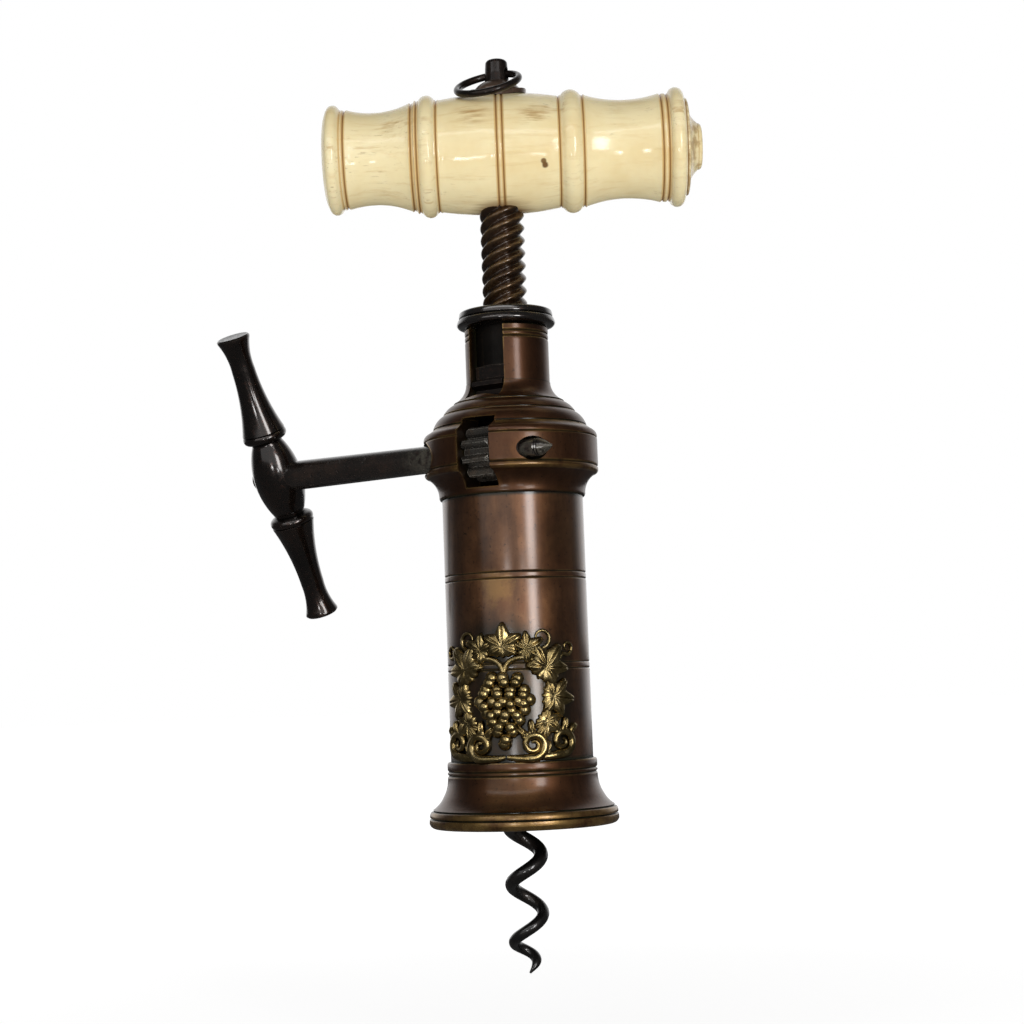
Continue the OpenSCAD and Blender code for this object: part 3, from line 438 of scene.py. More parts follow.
def side_hole(radius, start_x, end_x):
    """A cutter rod along X through the pinion's axis."""
    bm = bmesh.new()
    length = end_x - start_x
    bmesh.ops.create_cone(
        bm, cap_ends=True, segments=64, radius1=radius * MM, radius2=radius * MM, depth=length * MM
    )
    middle = Vector(((start_x + end_x) / 2, axis_y, axis_z)) * MM
    place = Matrix.Translation(middle) @ Matrix.Rotation(TURN / 4, 4, "Y")
    bmesh.ops.transform(bm, matrix=place, verts=bm.verts)
    return cutter(bm)


def cut_out(target, cutters):
    """Cuts the cutters out of a piece and keeps the result as its mesh."""
    for tool in cutters:
        change = target.modifiers.new("cut", "BOOLEAN")
        change.operation = "DIFFERENCE"
        change.solver = "EXACT"
        change.object = tool
    shown = target.evaluated_get(bpy.context.evaluated_depsgraph_get())
    mesh = bpy.data.meshes.new_from_object(shown)
    target.modifiers.clear()
    target.data = mesh
    for tool in cutters:
        bpy.data.objects.remove(tool)


cap = piece(
    turned(cap_outline, closed=True), "cap", "barrel", cap_finish, ["shoulder_cap"]
)
cut_out(cap, [
    block((-SLOT_HALF, -slot_deep, cap_low.z - 1), (SLOT_HALF, 0, cap_top + 1)),
    block(
        (pinion_x - window_half, -FAR, axis_z - pinion_tip - WINDOW_ROOM),
        (pinion_x + window_half, WINDOW_BACK_Y, axis_z + pinion_tip + WINDOW_ROOM),
    ),
    side_hole(JOURNAL_R + RUNNING_GAP, -FAR, -0.5),
    side_hole(SMALL_HOLE_R, 0.5, FAR),
])
cap.data.set_sharp_from_angle(angle=math.radians(CREASE))

# Brass spray: a cast brass relief of vine leaves, curling stems and a bunch of grapes.
# It is bent to the tube and soldered on, bright on its high places and darkened nearly black in its hollows
# by dark patina and painted shade.
def cast_brass():
    """Old cast brass: rubbed bright on top, nearly black in the hollows from dark patina and painted shade.
    """
    finish, tree, shader = new_finish("cast_brass")
    coords = object_coords(tree)
    mottle = cloud(tree, coords, 600, 4, 0.65)
    grain = cloud(tree, coords, 3200, 3, 0.6)
    tone = ramp(
        tree, mottle,
        (0.32, (0.20, 0.140, 0.052)), (0.52, (0.37, 0.272, 0.115)), (0.72, (0.55, 0.430, 0.220)),
    )
    patina = level(tree, cloud(tree, coords, 230, 4, 0.65), 0.46, 0.64, 0.0, 0.6)
    tone = over(tree, patina, tone, (0.105, 0.082, 0.036, 1))
    # Painted shade: hollows within 1.1 mm go nearly black, partly standing for dark patina.
    deep = level(tree, crevice(tree, 0.0011), 0.22, 0.74)
    tone = over(tree, deep, tone, (0.022, 0.0165, 0.0075, 1))
    tree.links.new(tone, shader.inputs["Base Color"])
    shader.inputs["Metallic"].default_value = 1.0
    tree.links.new(level(tree, mottle, 0.3, 0.7, 0.17, 0.29), shader.inputs["Roughness"])
    tree.links.new(bump(tree, grain, 0.00004, 0.8), shader.inputs["Normal"])
    return finish


def on_tube(u, v, h):
    """The place at u mm round the tube, v mm up from the spray's middle and h mm off the tube."""
    return off_tube(SPRAY_TURN + u / tube_r, spray_mid_z + v, h)


VINE = ((0, 1.0, 25), (56, 0.90, 23), (-56, 0.90, 23), (114, 0.70, 25), (-114, 0.70, 25))
BLADE = ((0, 1.0, 27),)
RIM_SUNK = -0.2


def add_mesh(bm, mesh):
    """Adds a mesh to a bmesh and drops it."""
    bm.from_mesh(mesh)
    bpy.data.meshes.remove(mesh)


def add_to(bm, part):
    """Adds one bmesh to another."""
    mesh = bpy.data.meshes.new("part")
    part.to_mesh(mesh)
    part.free()
    add_mesh(bm, mesh)


def wire_mesh(curve):
    """The mesh of a curve with its thickness."""
    holder = bpy.data.objects.new(curve.name, curve)
    bpy.context.scene.collection.objects.link(holder)
    bpy.context.view_layer.update()
    shown = holder.evaluated_get(bpy.context.evaluated_depsgraph_get())
    mesh = bpy.data.meshes.new_from_object(shown)
    bpy.data.objects.remove(holder)
    return mesh


def leaf(bm, u, v, size, turn, lobes=VINE, body=0.46, lift=0.3):
    """A leaf with (direction, length, width) lobes and sunk veins; angles are in degrees."""
    rings, spokes = 10, 144
    blade = bmesh.new()
    line = [blade.verts.new((step / rings, 0, 0)) for step in range(rings + 1)]
    edges = [blade.edges.new(pair) for pair in zip(line, line[1:])]
    bmesh.ops.spin(
        blade, geom=line + edges, cent=(0, 0, 0), axis=(0, 0, 1), angle=TURN, steps=spokes, use_merge=True
    )
    for vert in blade.verts:
        share = vert.co.xy.length
        way = math.degrees(math.atan2(vert.co.y, vert.co.x))
        offs = [(way - direction + 180) % 360 - 180 for direction, length, width in lobes]
        swells = [math.exp(-(off / width) ** 2) for off, (_, _, width) in zip(offs, lobes)]
        reach = body + max(swell * (length - body) for swell, (_, length, _) in zip(swells, lobes))
        reach += 0.035 * math.cos(math.radians(way * 12)) * (len(lobes) > 1)
        nearest = min(abs(off) for off in offs)
        off_vein = math.radians(nearest) * share * size * reach
        vein = math.exp(-(off_vein / 0.17) ** 2) * (share < 0.92) * (nearest < 60)
        pillow = (1 - share ** 3.5) ** 0.5 * (0.62 + 0.38 * max(swells))
        height = RIM_SUNK if share > 0.999 else lift + 0.95 * pillow - 0.3 * vein
        angle = math.radians(way + turn + 90)
        out = size * reach * share
        vert.co = on_tube(u + out * math.cos(angle), v + out * math.sin(angle), height)
    add_to(bm, blade)


def stem(points, thickness):
    """A tapered brass stem through (u, v, share of its thickness) points."""
    curve = bpy.data.curves.new("stem", "CURVE")
    curve.dimensions = "3D"
    curve.bevel_depth = thickness * MM
    curve.bevel_resolution = 3
    curve.resolution_u = 6
    curve.use_fill_caps = True
    line = curve.splines.new("NURBS")
    line.points.add(len(points) - 1)
    for point, (u, v, share) in zip(line.points, points):
        point.co = (*on_tube(u, v, thickness * share * 0.55), 1)
        point.radius = share
    line.order_u = 4
    line.use_endpoint_u = True
    return wire_mesh(curve)


def spiral(u, v, radius, start, sweep, count=14, tip=0.35):
    """Points of a curl round (u, v) that winds inwards."""
    points = []
    for step in range(count + 1):
        share = step / count
        angle = math.radians(start + sweep * share)
        reach = radius * (1 - 0.78 * share)
        points.append((u + reach * math.cos(angle), v + reach * math.sin(angle), 1 - (1 - tip) * share))
    return points


spray = bmesh.new()
for side in (-1, 1):
    for thickness, points in (
        (0.6, [(0, 3.4, 1.0), (0.3, 5.4, 1.0), (2.2, 7.0, 1.0), (5.4, 6.6, 0.9), (8.0, 4.8, 0.8)]),
        (
            1.0,
            [(0.2, -12.7, 0.5), (2.0, -13.0, 0.8), (4.6, -13.1, 1.0)] + spiral(5.3, -10.4, 2.6, -75, 560),
        ),
        (0.95, [(5.0, -13.0, 0.5), (8.0, -12.8, 0.9)] + spiral(11.3, -9.9, 2.7, -110, 560)),
        (0.42, [(6.0, 5.6, 0.9)] + spiral(7.6, 10.4, 2.2, -100, 430)),
        (0.40, [(9.8, 3.0, 0.9)] + spiral(13.4, 8.4, 1.7, -150, 420)),
    ):
        add_mesh(spray, stem([(side * u, v, share) for u, v, share in points], thickness))
    for u, v, size, ways in (
        (5.3, -10.4, 2.9, (95, 60, 130)), (11.3, -9.9, 2.7, (80, 45, 115)), (7.9, -12.0, 2.2, (75, 110)),
    ):
        for way in ways:
            out = 2.2 if size > 2.5 else 0.2
            at = (u + out * math.cos(math.radians(way)), v + out * math.sin(math.radians(way)))
            leaf(spray, side * at[0], at[1], size, side * (way - 90), BLADE, 0.34, lift=0.35)
    for u, v, size, way, lift in (
        (8.0, -5.9, 4.1, -128, 0.15), (4.5, 8.2, 4.1, -58, 0.2),
        (9.7, -1.2, 5.1, -98, 0.25), (8.2, 4.5, 5.7, -36, 0.4),
    ):
        leaf(spray, side * u, v, size, side * way, lift=lift)
leaf(spray, 0, 8.9, 4.8, 0, lift=0.5)

GRAPE_R = 1.36
for rows, head, radius, lift in (
    ((3, 4, 5, 4, 3, 2, 1), 2.6, GRAPE_R, 0.5),
    ((3, 4, 4, 3, 2, 1), 1.55, GRAPE_R * 0.9, 1.0),
):
    for row, count in enumerate(rows):
        for place in range(count):
            u = (place - (count - 1) / 2) * GRAPE_R * 1.82
            v = head - row * GRAPE_R * 1.55
            u, v = u + 0.22 * math.sin(9 * v + 4 * u), v + 0.3 * math.sin(2.3 * u + 5 * v)
            middle = on_tube(u, v, lift - 0.05 * abs(u))
            bmesh.ops.create_icosphere(
                spray, subdivisions=3, radius=radius * MM, matrix=Matrix.Translation(middle)
            )
bmesh.ops.remove_doubles(spray, verts=spray.verts, dist=MM * 1e-3)
bmesh.ops.recalc_face_normals(spray, faces=spray.faces)
piece(spray, "vine_spray", "barrel", cast_brass(), ["brass_spray"], crease=60)

# Collar: a blackened steel nut with two rounded rims that sits on the neck.
# The screw runs through it, and the rack's sleeve is fixed into it from below.
collar_low, collar_high = mm_box("collar_nut")
COLLAR_R = 10.2
COLLAR_STEP = 0.55
SLEEVE_SEAT_R = 6.43
SLEEVE_SEAT_H = 1.8
collar_h = collar_high.z - collar_low.z
screw_low, screw_high = mm_box("screw_spindle")
screw_r = screw_high.x


def black_steel(
    name, pits=0.3, rust=0.35, shine=0.34, edges=False, pale=(1, 1, 1), metal=0.9,
    bare=(0.15, 0.12, 0.098, 1), oil=1.6,
):
    """Old blackened steel: brown-black, satin, a little pitted and rubbed; with edges, its hollows get
    painted shade and its sharp edges turn bare, partly as painted highlight.
    """
    finish, tree, shader = new_finish(name)
    coords = object_coords(tree)
    clouds = cloud(tree, coords, 140, 5, 0.62)
    grain = cloud(tree, coords, 1300, 4, 0.65)
    pit = cloud(tree, coords, 620, 3, 0.6)
    blacks = (
        (0.30, (0.010, 0.0078, 0.0070)), (0.52, (0.022, 0.0158, 0.0130)), (0.74, (0.046, 0.0275, 0.0195)),
    )
    tone = ramp(
        tree, clouds,
        *((place, [part * lift for part, lift in zip(colour, pale)]) for place, colour in blacks),
    )
    brown = level(tree, grain, 0.52, 0.72, 0.0, rust)
    tone = over(tree, brown, tone, (0.066, 0.028, 0.018, 1))
    rubbed = mark(tree, "wear_and_sheen")
    # With edges, sharp edges turn bare steel: rubbed wear, and on the sleeve and pinion partly a painted
    # highlight of lit edges.
    if edges:
        rubbed = figure(tree, "MAXIMUM", rubbed, sharp_edge(tree, 0.0003))
    rubbed = times(tree, rubbed, level(tree, pit, 0.35, 0.6))
    tone = over(tree, rubbed, tone, bare)
    grime_and_shade = mark(tree, "grime")
    # With edges, painted shade: hollows within 1.5 mm go nearly black, added to the grime marks.
    if edges:
        grime_and_shade = figure(tree, "MAXIMUM", grime_and_shade, level(tree, crevice(tree, 0.0015), 0.45, 0.85))
    tone = over(tree, grime_and_shade, tone, (0.006, 0.005, 0.0045, 1))
    holes = level(tree, pit, 0.62, 0.70, 0.0, pits)
    tone = over(tree, holes, tone, (0.010, 0.007, 0.006, 1))
    tree.links.new(tone, shader.inputs["Base Color"])
    shader.inputs["Metallic"].default_value = metal
    tree.links.new(level(tree, grime_and_shade, 0.0, 1.0, 0.8, 0.0), shader.inputs["Coat Weight"])
    shader.inputs["Coat IOR"].default_value = oil
    shader.inputs["Coat Roughness"].default_value = 0.12
    tree.links.new(level(tree, grain, 0.3, 0.7, shine - 0.05, shine + 0.07), shader.inputs["Roughness"])
    hammered = bump(tree, clouds, 0.00025, 0.5)
    sunk = bump(tree, holes, -0.00012, 1.0, hammered)
    tree.links.new(bump(tree, grain, 0.00001, 0.7, sunk), shader.inputs["Normal"])
    return finish


collar_finish = black_steel("black_steel", shine=0.26, oil=1.9)
upper_r = COLLAR_R - COLLAR_STEP
collar_outline = [(SLEEVE_SEAT_R, 0), (NECK_R - 0.2, 0)]
collar_outline += arc((COLLAR_R - 0.75, collar_h * 0.06), (COLLAR_R - 0.05, collar_h * 0.25), 0.14, 6)
collar_outline += arc((COLLAR_R - 0.05, collar_h * 0.25), (COLLAR_R - 0.25, collar_h * 0.46), 0.03, 4)[1:]
collar_outline += arc((COLLAR_R - 0.25, collar_h * 0.46), (COLLAR_R - 0.6, collar_h * 0.55), 0.16, 6)[1:]
collar_outline += [(upper_r - 0.25, collar_h * 0.57, 0, 1), (upper_r - 0.25, collar_h * 0.6, 0, 1)]
collar_outline += arc((upper_r - 0.15, collar_h * 0.62), (upper_r, collar_h * 0.69), 0.2, 4)
collar_outline += arc((upper_r, collar_h * 0.69), (upper_r - 0.08, collar_h * 0.87), 0.03, 4)[1:]
collar_outline += arc((upper_r - 0.08, collar_h * 0.87), (upper_r - 0.5, collar_h), 0.18, 8)[1:]
collar_outline += [(screw_r + 1, collar_h, 0.2), (screw_r + RUNNING_GAP, collar_h - 0.5)]
collar_outline += [(screw_r + RUNNING_GAP, SLEEVE_SEAT_H), (SLEEVE_SEAT_R, SLEEVE_SEAT_H)]
on_neck = Matrix.Translation((0, 0, collar_low.z * MM))
piece(
    turned(collar_outline, closed=True, place=on_neck), "collar", "rack",
    collar_finish, ["collar_nut"],
)

# Rack, sleeve and pinion: cut steel, black with old oil and rubbed bright on the tooth tips; the sleeve's
# darker tone is partly painted shade, and the pinion's paler tone and bright edges are partly painted light.
# The rack bar is riveted to a flat on the sleeve, and the pinion is pinned to its shaft.
# The stop ring and the worm's pin are of the sleeve's oily steel.
gear_finish = black_steel("gear_steel", pits=0.2, rust=0.6, shine=0.36, edges=True)
# The sleeve's oily steel is darker, partly as painted shade deep in the slot, and its edges are painted
# bright as if lit.
oily_shaded_finish = black_steel(
    "oily_shaded_steel", pits=0.2, rust=0.1, shine=0.6, edges=True, pale=(0.6, 0.7, 0.7), oil=1.1
)
# The pinion's steel is painted paler, as painted light on teeth in the window's shade; its bright bare edges
# are partly wear and partly painted highlight.
worn_lit_finish = black_steel(
    "worn_lit_steel", pits=0.1, rust=0.1, shine=0.24, edges=True, pale=(2.9, 3.6, 3.7), metal=0.65,
    bare=(0.50, 0.47, 0.41, 1),
)


def coat(finish, *names):
    """Gives CAD nodes a finish."""
    for name in names:
        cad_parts[name].material_slots[0].material = finish


coat(gear_finish, "rack_bar", "rack_rivets")
coat(worn_lit_finish, "pinion", "pinion_pin")
coat(oily_shaded_finish, "rack_sleeve", "stop_ring", "worm_pin")

# Pinion shaft: a forged steel shaft, pitted near the cap, with a pointed end on the far side.
# A large journal turns in the cap, and the outer end is riveted through the side handle.
bar_low, bar_high = mm_box("side_handle")
side_reach = (bar_low.x + bar_high.x) / 2
KNOB_R = 5.2
SHAFT_END_R = 3.1
SHAFT_R = 2.75
TENON_R = 2.4
POINT_R = 1.8
SMALL_JOURNAL_R = 2.3
JOURNAL_X = -7.25
JOURNAL_END_X = -4.45
TAPER_STEPS = 12
knob_face = side_reach + math.sqrt(KNOB_R ** 2 - SHAFT_END_R ** 2)
rivet_face = side_reach - KNOB_R
point_foot = shaft_high.x - 3.45
point_tip = shaft_high.x - 0.6
taper_at = knob_face + 0.6
shaft_finish = black_steel(
    "pitted_steel", pits=0.85, rust=0.5, shine=0.30, metal=0.6, bare=(0.18, 0.168, 0.128, 1)
)

shaft_outline = [(0, shaft_low.x)]
shaft_outline += arc((TENON_R * 0.5, shaft_low.x), (TENON_R, rivet_face + 0.3), 0.2, 6, wear_and_sheen=0.4)
shaft_outline += [(TENON_R, knob_face - 1.2), (SHAFT_END_R, knob_face - 1.2), (SHAFT_END_R, taper_at)]
for step in range(1, TAPER_STEPS + 1):
    share = step / TAPER_STEPS
    radius = SHAFT_END_R + (SHAFT_R - SHAFT_END_R) * share
    shaft_outline.append((radius, taper_at + (JOURNAL_X - taper_at) * share, max(0.0, 3 * share - 2.2)))
shaft_outline += [(JOURNAL_R - 0.4, JOURNAL_X), (JOURNAL_R, JOURNAL_X + 0.4, 0.5)]
shaft_outline += [(JOURNAL_R, JOURNAL_END_X), (SMALL_JOURNAL_R, JOURNAL_END_X)]
shaft_outline += [(SMALL_JOURNAL_R, point_foot - 4.25), (POINT_R, point_foot - 4, 0.35)]
shaft_outline += [(POINT_R, point_foot - 0.75, 0.35)]
shaft_outline += [(POINT_R - 0.25, point_foot - 0.5, 0, 1), (POINT_R, point_foot - 0.25, 0.7)]
shaft_outline += [(POINT_R - 0.25, point_foot, 0, 1)]
shaft_outline += arc((POINT_R - 0.1, point_foot + 0.25), (0.15, point_tip), 0.03, 8, wear_and_sheen=0.4)
shaft_outline += [(0, point_tip)]
pinion_axis = Matrix.Translation((0, axis_y * MM, axis_z * MM))
pinion_axis @= Matrix.Rotation(TURN / 4, 4, "Y")
piece(
    turned(shaft_outline, steps=96, place=pinion_axis), "shaft", "pinion",
    shaft_finish, ["pinion_shaft"],
)

# Side handle: a turned steel T-bar, an egg-shaped knob between two trumpet arms.
# It is blackened and polished by use, and the shaft's tenon is riveted over on its far side.
BAR_TILT = math.radians(25)
BAR_HALF = 31.8
KNOB_HALF = 8.0
BAR_NECK_R = 3.3
ARM_IN_R = 4.7
ARM_WAIST_R = 2.5
ARM_OUT_R = 3.55
neck_at = KNOB_HALF + 0.4
arm_at = neck_at + 1.8
waist_at = BAR_HALF - 8

knob = arc((BAR_NECK_R, -KNOB_HALF), (BAR_NECK_R, KNOB_HALF), (KNOB_R - BAR_NECK_R) / 2 / KNOB_HALF, 28)
arm = [(BAR_NECK_R, neck_at, 0, 1)]
arm += arc((ARM_IN_R - 0.5, neck_at + 0.3), (ARM_IN_R - 0.1, arm_at), 0.2, 6)
arm += [(ARM_IN_R - 0.3, arm_at + 0.2, 0, 1)]
arm += arc((ARM_IN_R - 0.1, arm_at + 0.4), (ARM_WAIST_R, waist_at), -0.035, 14)
arm += arc((ARM_WAIST_R, waist_at + 0.6), (ARM_OUT_R, BAR_HALF - 0.6), -0.06, 10)
arm += [(ARM_OUT_R, BAR_HALF - 0.3, 0.3), (ARM_OUT_R - 0.3, BAR_HALF, 0.2, 0.2)]
arm += [(ARM_OUT_R - 0.7, BAR_HALF - 0.05, 0, 0.8), (0, BAR_HALF - 0.1, 0, 0.8)]
bar_outline = [(radius, -place, *marks) for radius, place, *marks in reversed(arm)] + knob + arm
bar_place = Matrix.Translation((side_reach * MM, axis_y * MM, axis_z * MM))
bar_place @= Matrix.Rotation(BAR_TILT, 4, "X")
piece(
    turned(bar_outline, steps=128, place=bar_place), "t_bar", "pinion",
    black_steel("polished_black_steel", pits=0.25, rust=0.65, shine=0.24), ["side_handle"],
)

# Screw: a bronze spindle with four rounded ridges wound side by side, rubbed on their crests.
# It runs through the collar; its tang goes up into the handle and its foot holds the worm.
LEAD = 10.5
STARTS = 4
THREAD_LOW = 65.98
THREAD_HIGH = 126.48
THREAD_DEEP = 0.9
RIDGE_POINTS = 64
STEPS_A_TURN = 48
SHANK_R = 3.6
TANG_R = 3.0
OVERLAP = 0.5


def screw_bronze():
    """Brown bronze of the screw: dark grooves and golden crests."""
    finish, tree, shader = new_finish("screw_bronze")
    coords = object_coords(tree)
    clouds = cloud(tree, coords, 260, 4, 0.65)
    grain = cloud(tree, coords, 1800, 3, 0.6)
    tone = ramp(
        tree, clouds,
        (0.32, (0.040, 0.0195, 0.0090)), (0.55, (0.080, 0.0400, 0.0180)), (0.74, (0.120, 0.068, 0.0270)),
    )
    gold = times(tree, mark(tree, "wear_and_sheen"), level(tree, clouds, 0.34, 0.66))
    tone = over(tree, times(tree, gold, 0.5), tone, (0.17, 0.105, 0.038, 1))
    tone = over(tree, mark(tree, "grime"), tone, (0.010, 0.006, 0.004, 1))
    tree.links.new(tone, shader.inputs["Base Color"])
    shader.inputs["Metallic"].default_value = 0.9
    shader.inputs["Coat Weight"].default_value = 0.8
    shader.inputs["Coat Roughness"].default_value = 0.11
    tree.links.new(level(tree, grain, 0.3, 0.7, 0.30, 0.48), shader.inputs["Roughness"])
    tree.links.new(bump(tree, grain, 0.00004, 0.8), shader.inputs["Normal"])
    return finish


screw = bmesh.new()
crest = screw.verts.layers.float.new("wear_and_sheen")
groove = screw.verts.layers.float.new("grime")
ring = []
for index in range(RIDGE_POINTS):
    angle = TURN * index / RIDGE_POINTS
    swell = (0.5 + 0.5 * math.cos(STARTS * angle)) ** 0.8
    reach = (screw_r - THREAD_DEEP * (1 - swell)) * MM
    vert = screw.verts.new((reach * math.cos(angle), reach * math.sin(angle), THREAD_LOW * MM))
    vert[crest] = max(0.0, swell - 0.6) * 2.5
    vert[groove] = max(0.0, 0.18 - swell) * 4
    ring.append(vert)
edges = [screw.edges.new((ring[index - 1], ring[index])) for index in range(RIDGE_POINTS)]
turns = (THREAD_HIGH - THREAD_LOW) / LEAD
steps = round(turns * STEPS_A_TURN)
bmesh.ops.contextual_create(screw, geom=edges)
bmesh.ops.spin(
    screw, geom=ring + edges, cent=(0, 0, 0), axis=(0, 0, 1), angle=turns * TURN, steps=steps,
    dvec=(0, 0, (THREAD_HIGH - THREAD_LOW) / steps * MM),
)
bmesh.ops.holes_fill(screw, edges=screw.edges, sides=0)
bmesh.ops.recalc_face_normals(screw, faces=screw.faces)
shank_top = THREAD_LOW + OVERLAP
tang_foot = THREAD_HIGH - OVERLAP
shank = [(0, screw_low.z), (SHANK_R - 0.05, screw_low.z), (SHANK_R, screw_low.z + 0.1)]
shank += [(SHANK_R, shank_top), (0, shank_top)]
tang = [(0, tang_foot), (TANG_R, tang_foot), (TANG_R, screw_high.z), (0, screw_high.z)]
for outline in (shank, tang):
    add_to(screw, turned(outline, steps=64))
piece(screw, "screw", "spindle", screw_bronze(), ["screw_spindle"], crease=50)

# Worm: one drawn steel wire, wound into an open coil and filed to a point.
# Its straight shank is pinned into the foot of the screw.
worm_low, worm_high = mm_box("worm")
WORM_PITCH = 11.6
WORM_LEN = 60.2
WIRE_R = 1.52
WORM_MID_R = 3.05
WORM_TIP = -29.2
WORM_SHANK_R = 2.0
WORM_MARK_Z = -5.95
WORM_MARK_TURN = math.radians(34)
POINTS_A_TURN = 64
worm_turns = WORM_LEN / WORM_PITCH


def ease(share):
    """Smooth step from 0 to 1."""
    share = min(1.0, max(0.0, share))
    return share * share * (3 - 2 * share)


worm_curve = bpy.data.curves.new("worm", "CURVE")
worm_curve.dimensions = "3D"
worm_curve.bevel_depth = WIRE_R * MM
worm_curve.bevel_resolution = 8
worm_curve.use_fill_caps = True
worm_line = worm_curve.splines.new("POLY")
worm_steps = round(worm_turns * POINTS_A_TURN)
worm_line.points.add(worm_steps)
for index in range(worm_steps + 1):
    done = worm_turns * index / worm_steps
    z = WORM_TIP + WORM_PITCH * done
    angle = WORM_MARK_TURN + TURN * (z - WORM_MARK_Z) / WORM_PITCH
    angle -= TURN / 4 * max(0.0, 1 - 2 * done) ** 1.2
    reach = WORM_MID_R * (0.3 + 0.7 * ease(done / 0.6)) * ease((worm_turns - done) / 0.55)
    point = worm_line.points[index]
    point.co = (reach * math.cos(angle) * MM, reach * math.sin(angle) * MM, z * MM, 1)
    point.radius = min(1.0, 0.66 + 0.14 * done) * (0.12 + 0.88 * ease(0.2 + done / 0.3))
worm_foot = WORM_TIP + WORM_LEN - 2.6
worm_shank = [(0, worm_foot), (WORM_SHANK_R - 0.3, worm_foot), (WORM_SHANK_R, worm_foot + 0.5)]
worm_shank += [(WORM_SHANK_R, worm_high.z), (0, worm_high.z)]
worm = turned(worm_shank, steps=48)
add_mesh(worm, wire_mesh(worm_curve))
worm_finish = black_steel("worm_steel", pits=0.35, rust=0.12, shine=0.46, pale=(1.2, 1.5, 1.7))
piece(worm, "worm_wire", "spindle", worm_finish, ["worm"], crease=60)

# Bone handle: turned from one shin bone, with beads, rings and scribed lines, and polished.
# It is bored across for the tang. Its lines and pores are stained brown with age.
HANDLE_TURN = math.radians(33.5)
HANDLE_Z = 137.8
handle_place = Matrix.Translation((0, 0, HANDLE_Z * MM))
handle_place @= Matrix.Rotation(HANDLE_TURN, 4, "Z") @ Matrix.Rotation(TURN / 4, 4, "Y")
PLUG_R = 6.0
plug_hole_r = PLUG_R + 0.03
BONE_MARKS = (
    ((5.5, -10.85, 9.25), 0.72, 0.85, 0.95, (0.125, 0.055, 0.014, 1)),
    ((4.7, -11.15, 8.95), 0.62, 0.75, 0.95, (0.16, 0.085, 0.026, 1)),
    ((12, 0, 0), 5.5, 8.5, 0.9, (0.22, 0.115, 0.045, 1)),
    ((-6.3, -10.6, -5.2), 2.6, 5.6, 0.85, (0.42, 0.25, 0.09, 1)),
    ((-4.6, -11.4, 7.2), 2.2, 5.0, 0.8, (0.42, 0.25, 0.09, 1)),
    ((-7.4, -9.6, 24.0), 1.6, 4.4, 0.8, (0.44, 0.27, 0.10, 1)),
    ((-2.0, -9.6, -22.0), 1.2, 3.6, 0.6, (0.46, 0.29, 0.11, 1)),
)


def swell_to(start, end, crest, count=10):
    """An arc from start to end that reaches the crest radius half way."""
    chord = (Vector(end) - Vector(start)).length
    return arc(start, end, (crest - (start[0] + end[0]) / 2) / chord, count)


def stained(radius, place, depth=0.3):
    """A scribed line in the bone with brown stain in it."""
    return [
        (radius, place - 1.5 * depth, 0, 0.2), (radius - 0.2 * depth, place - 0.8 * depth, 0, 0.45),
        (radius - depth, place, 0, 1),
        (radius - 0.2 * depth, place + 0.8 * depth, 0, 0.45), (radius, place + 1.5 * depth, 0, 0.2),
    ]


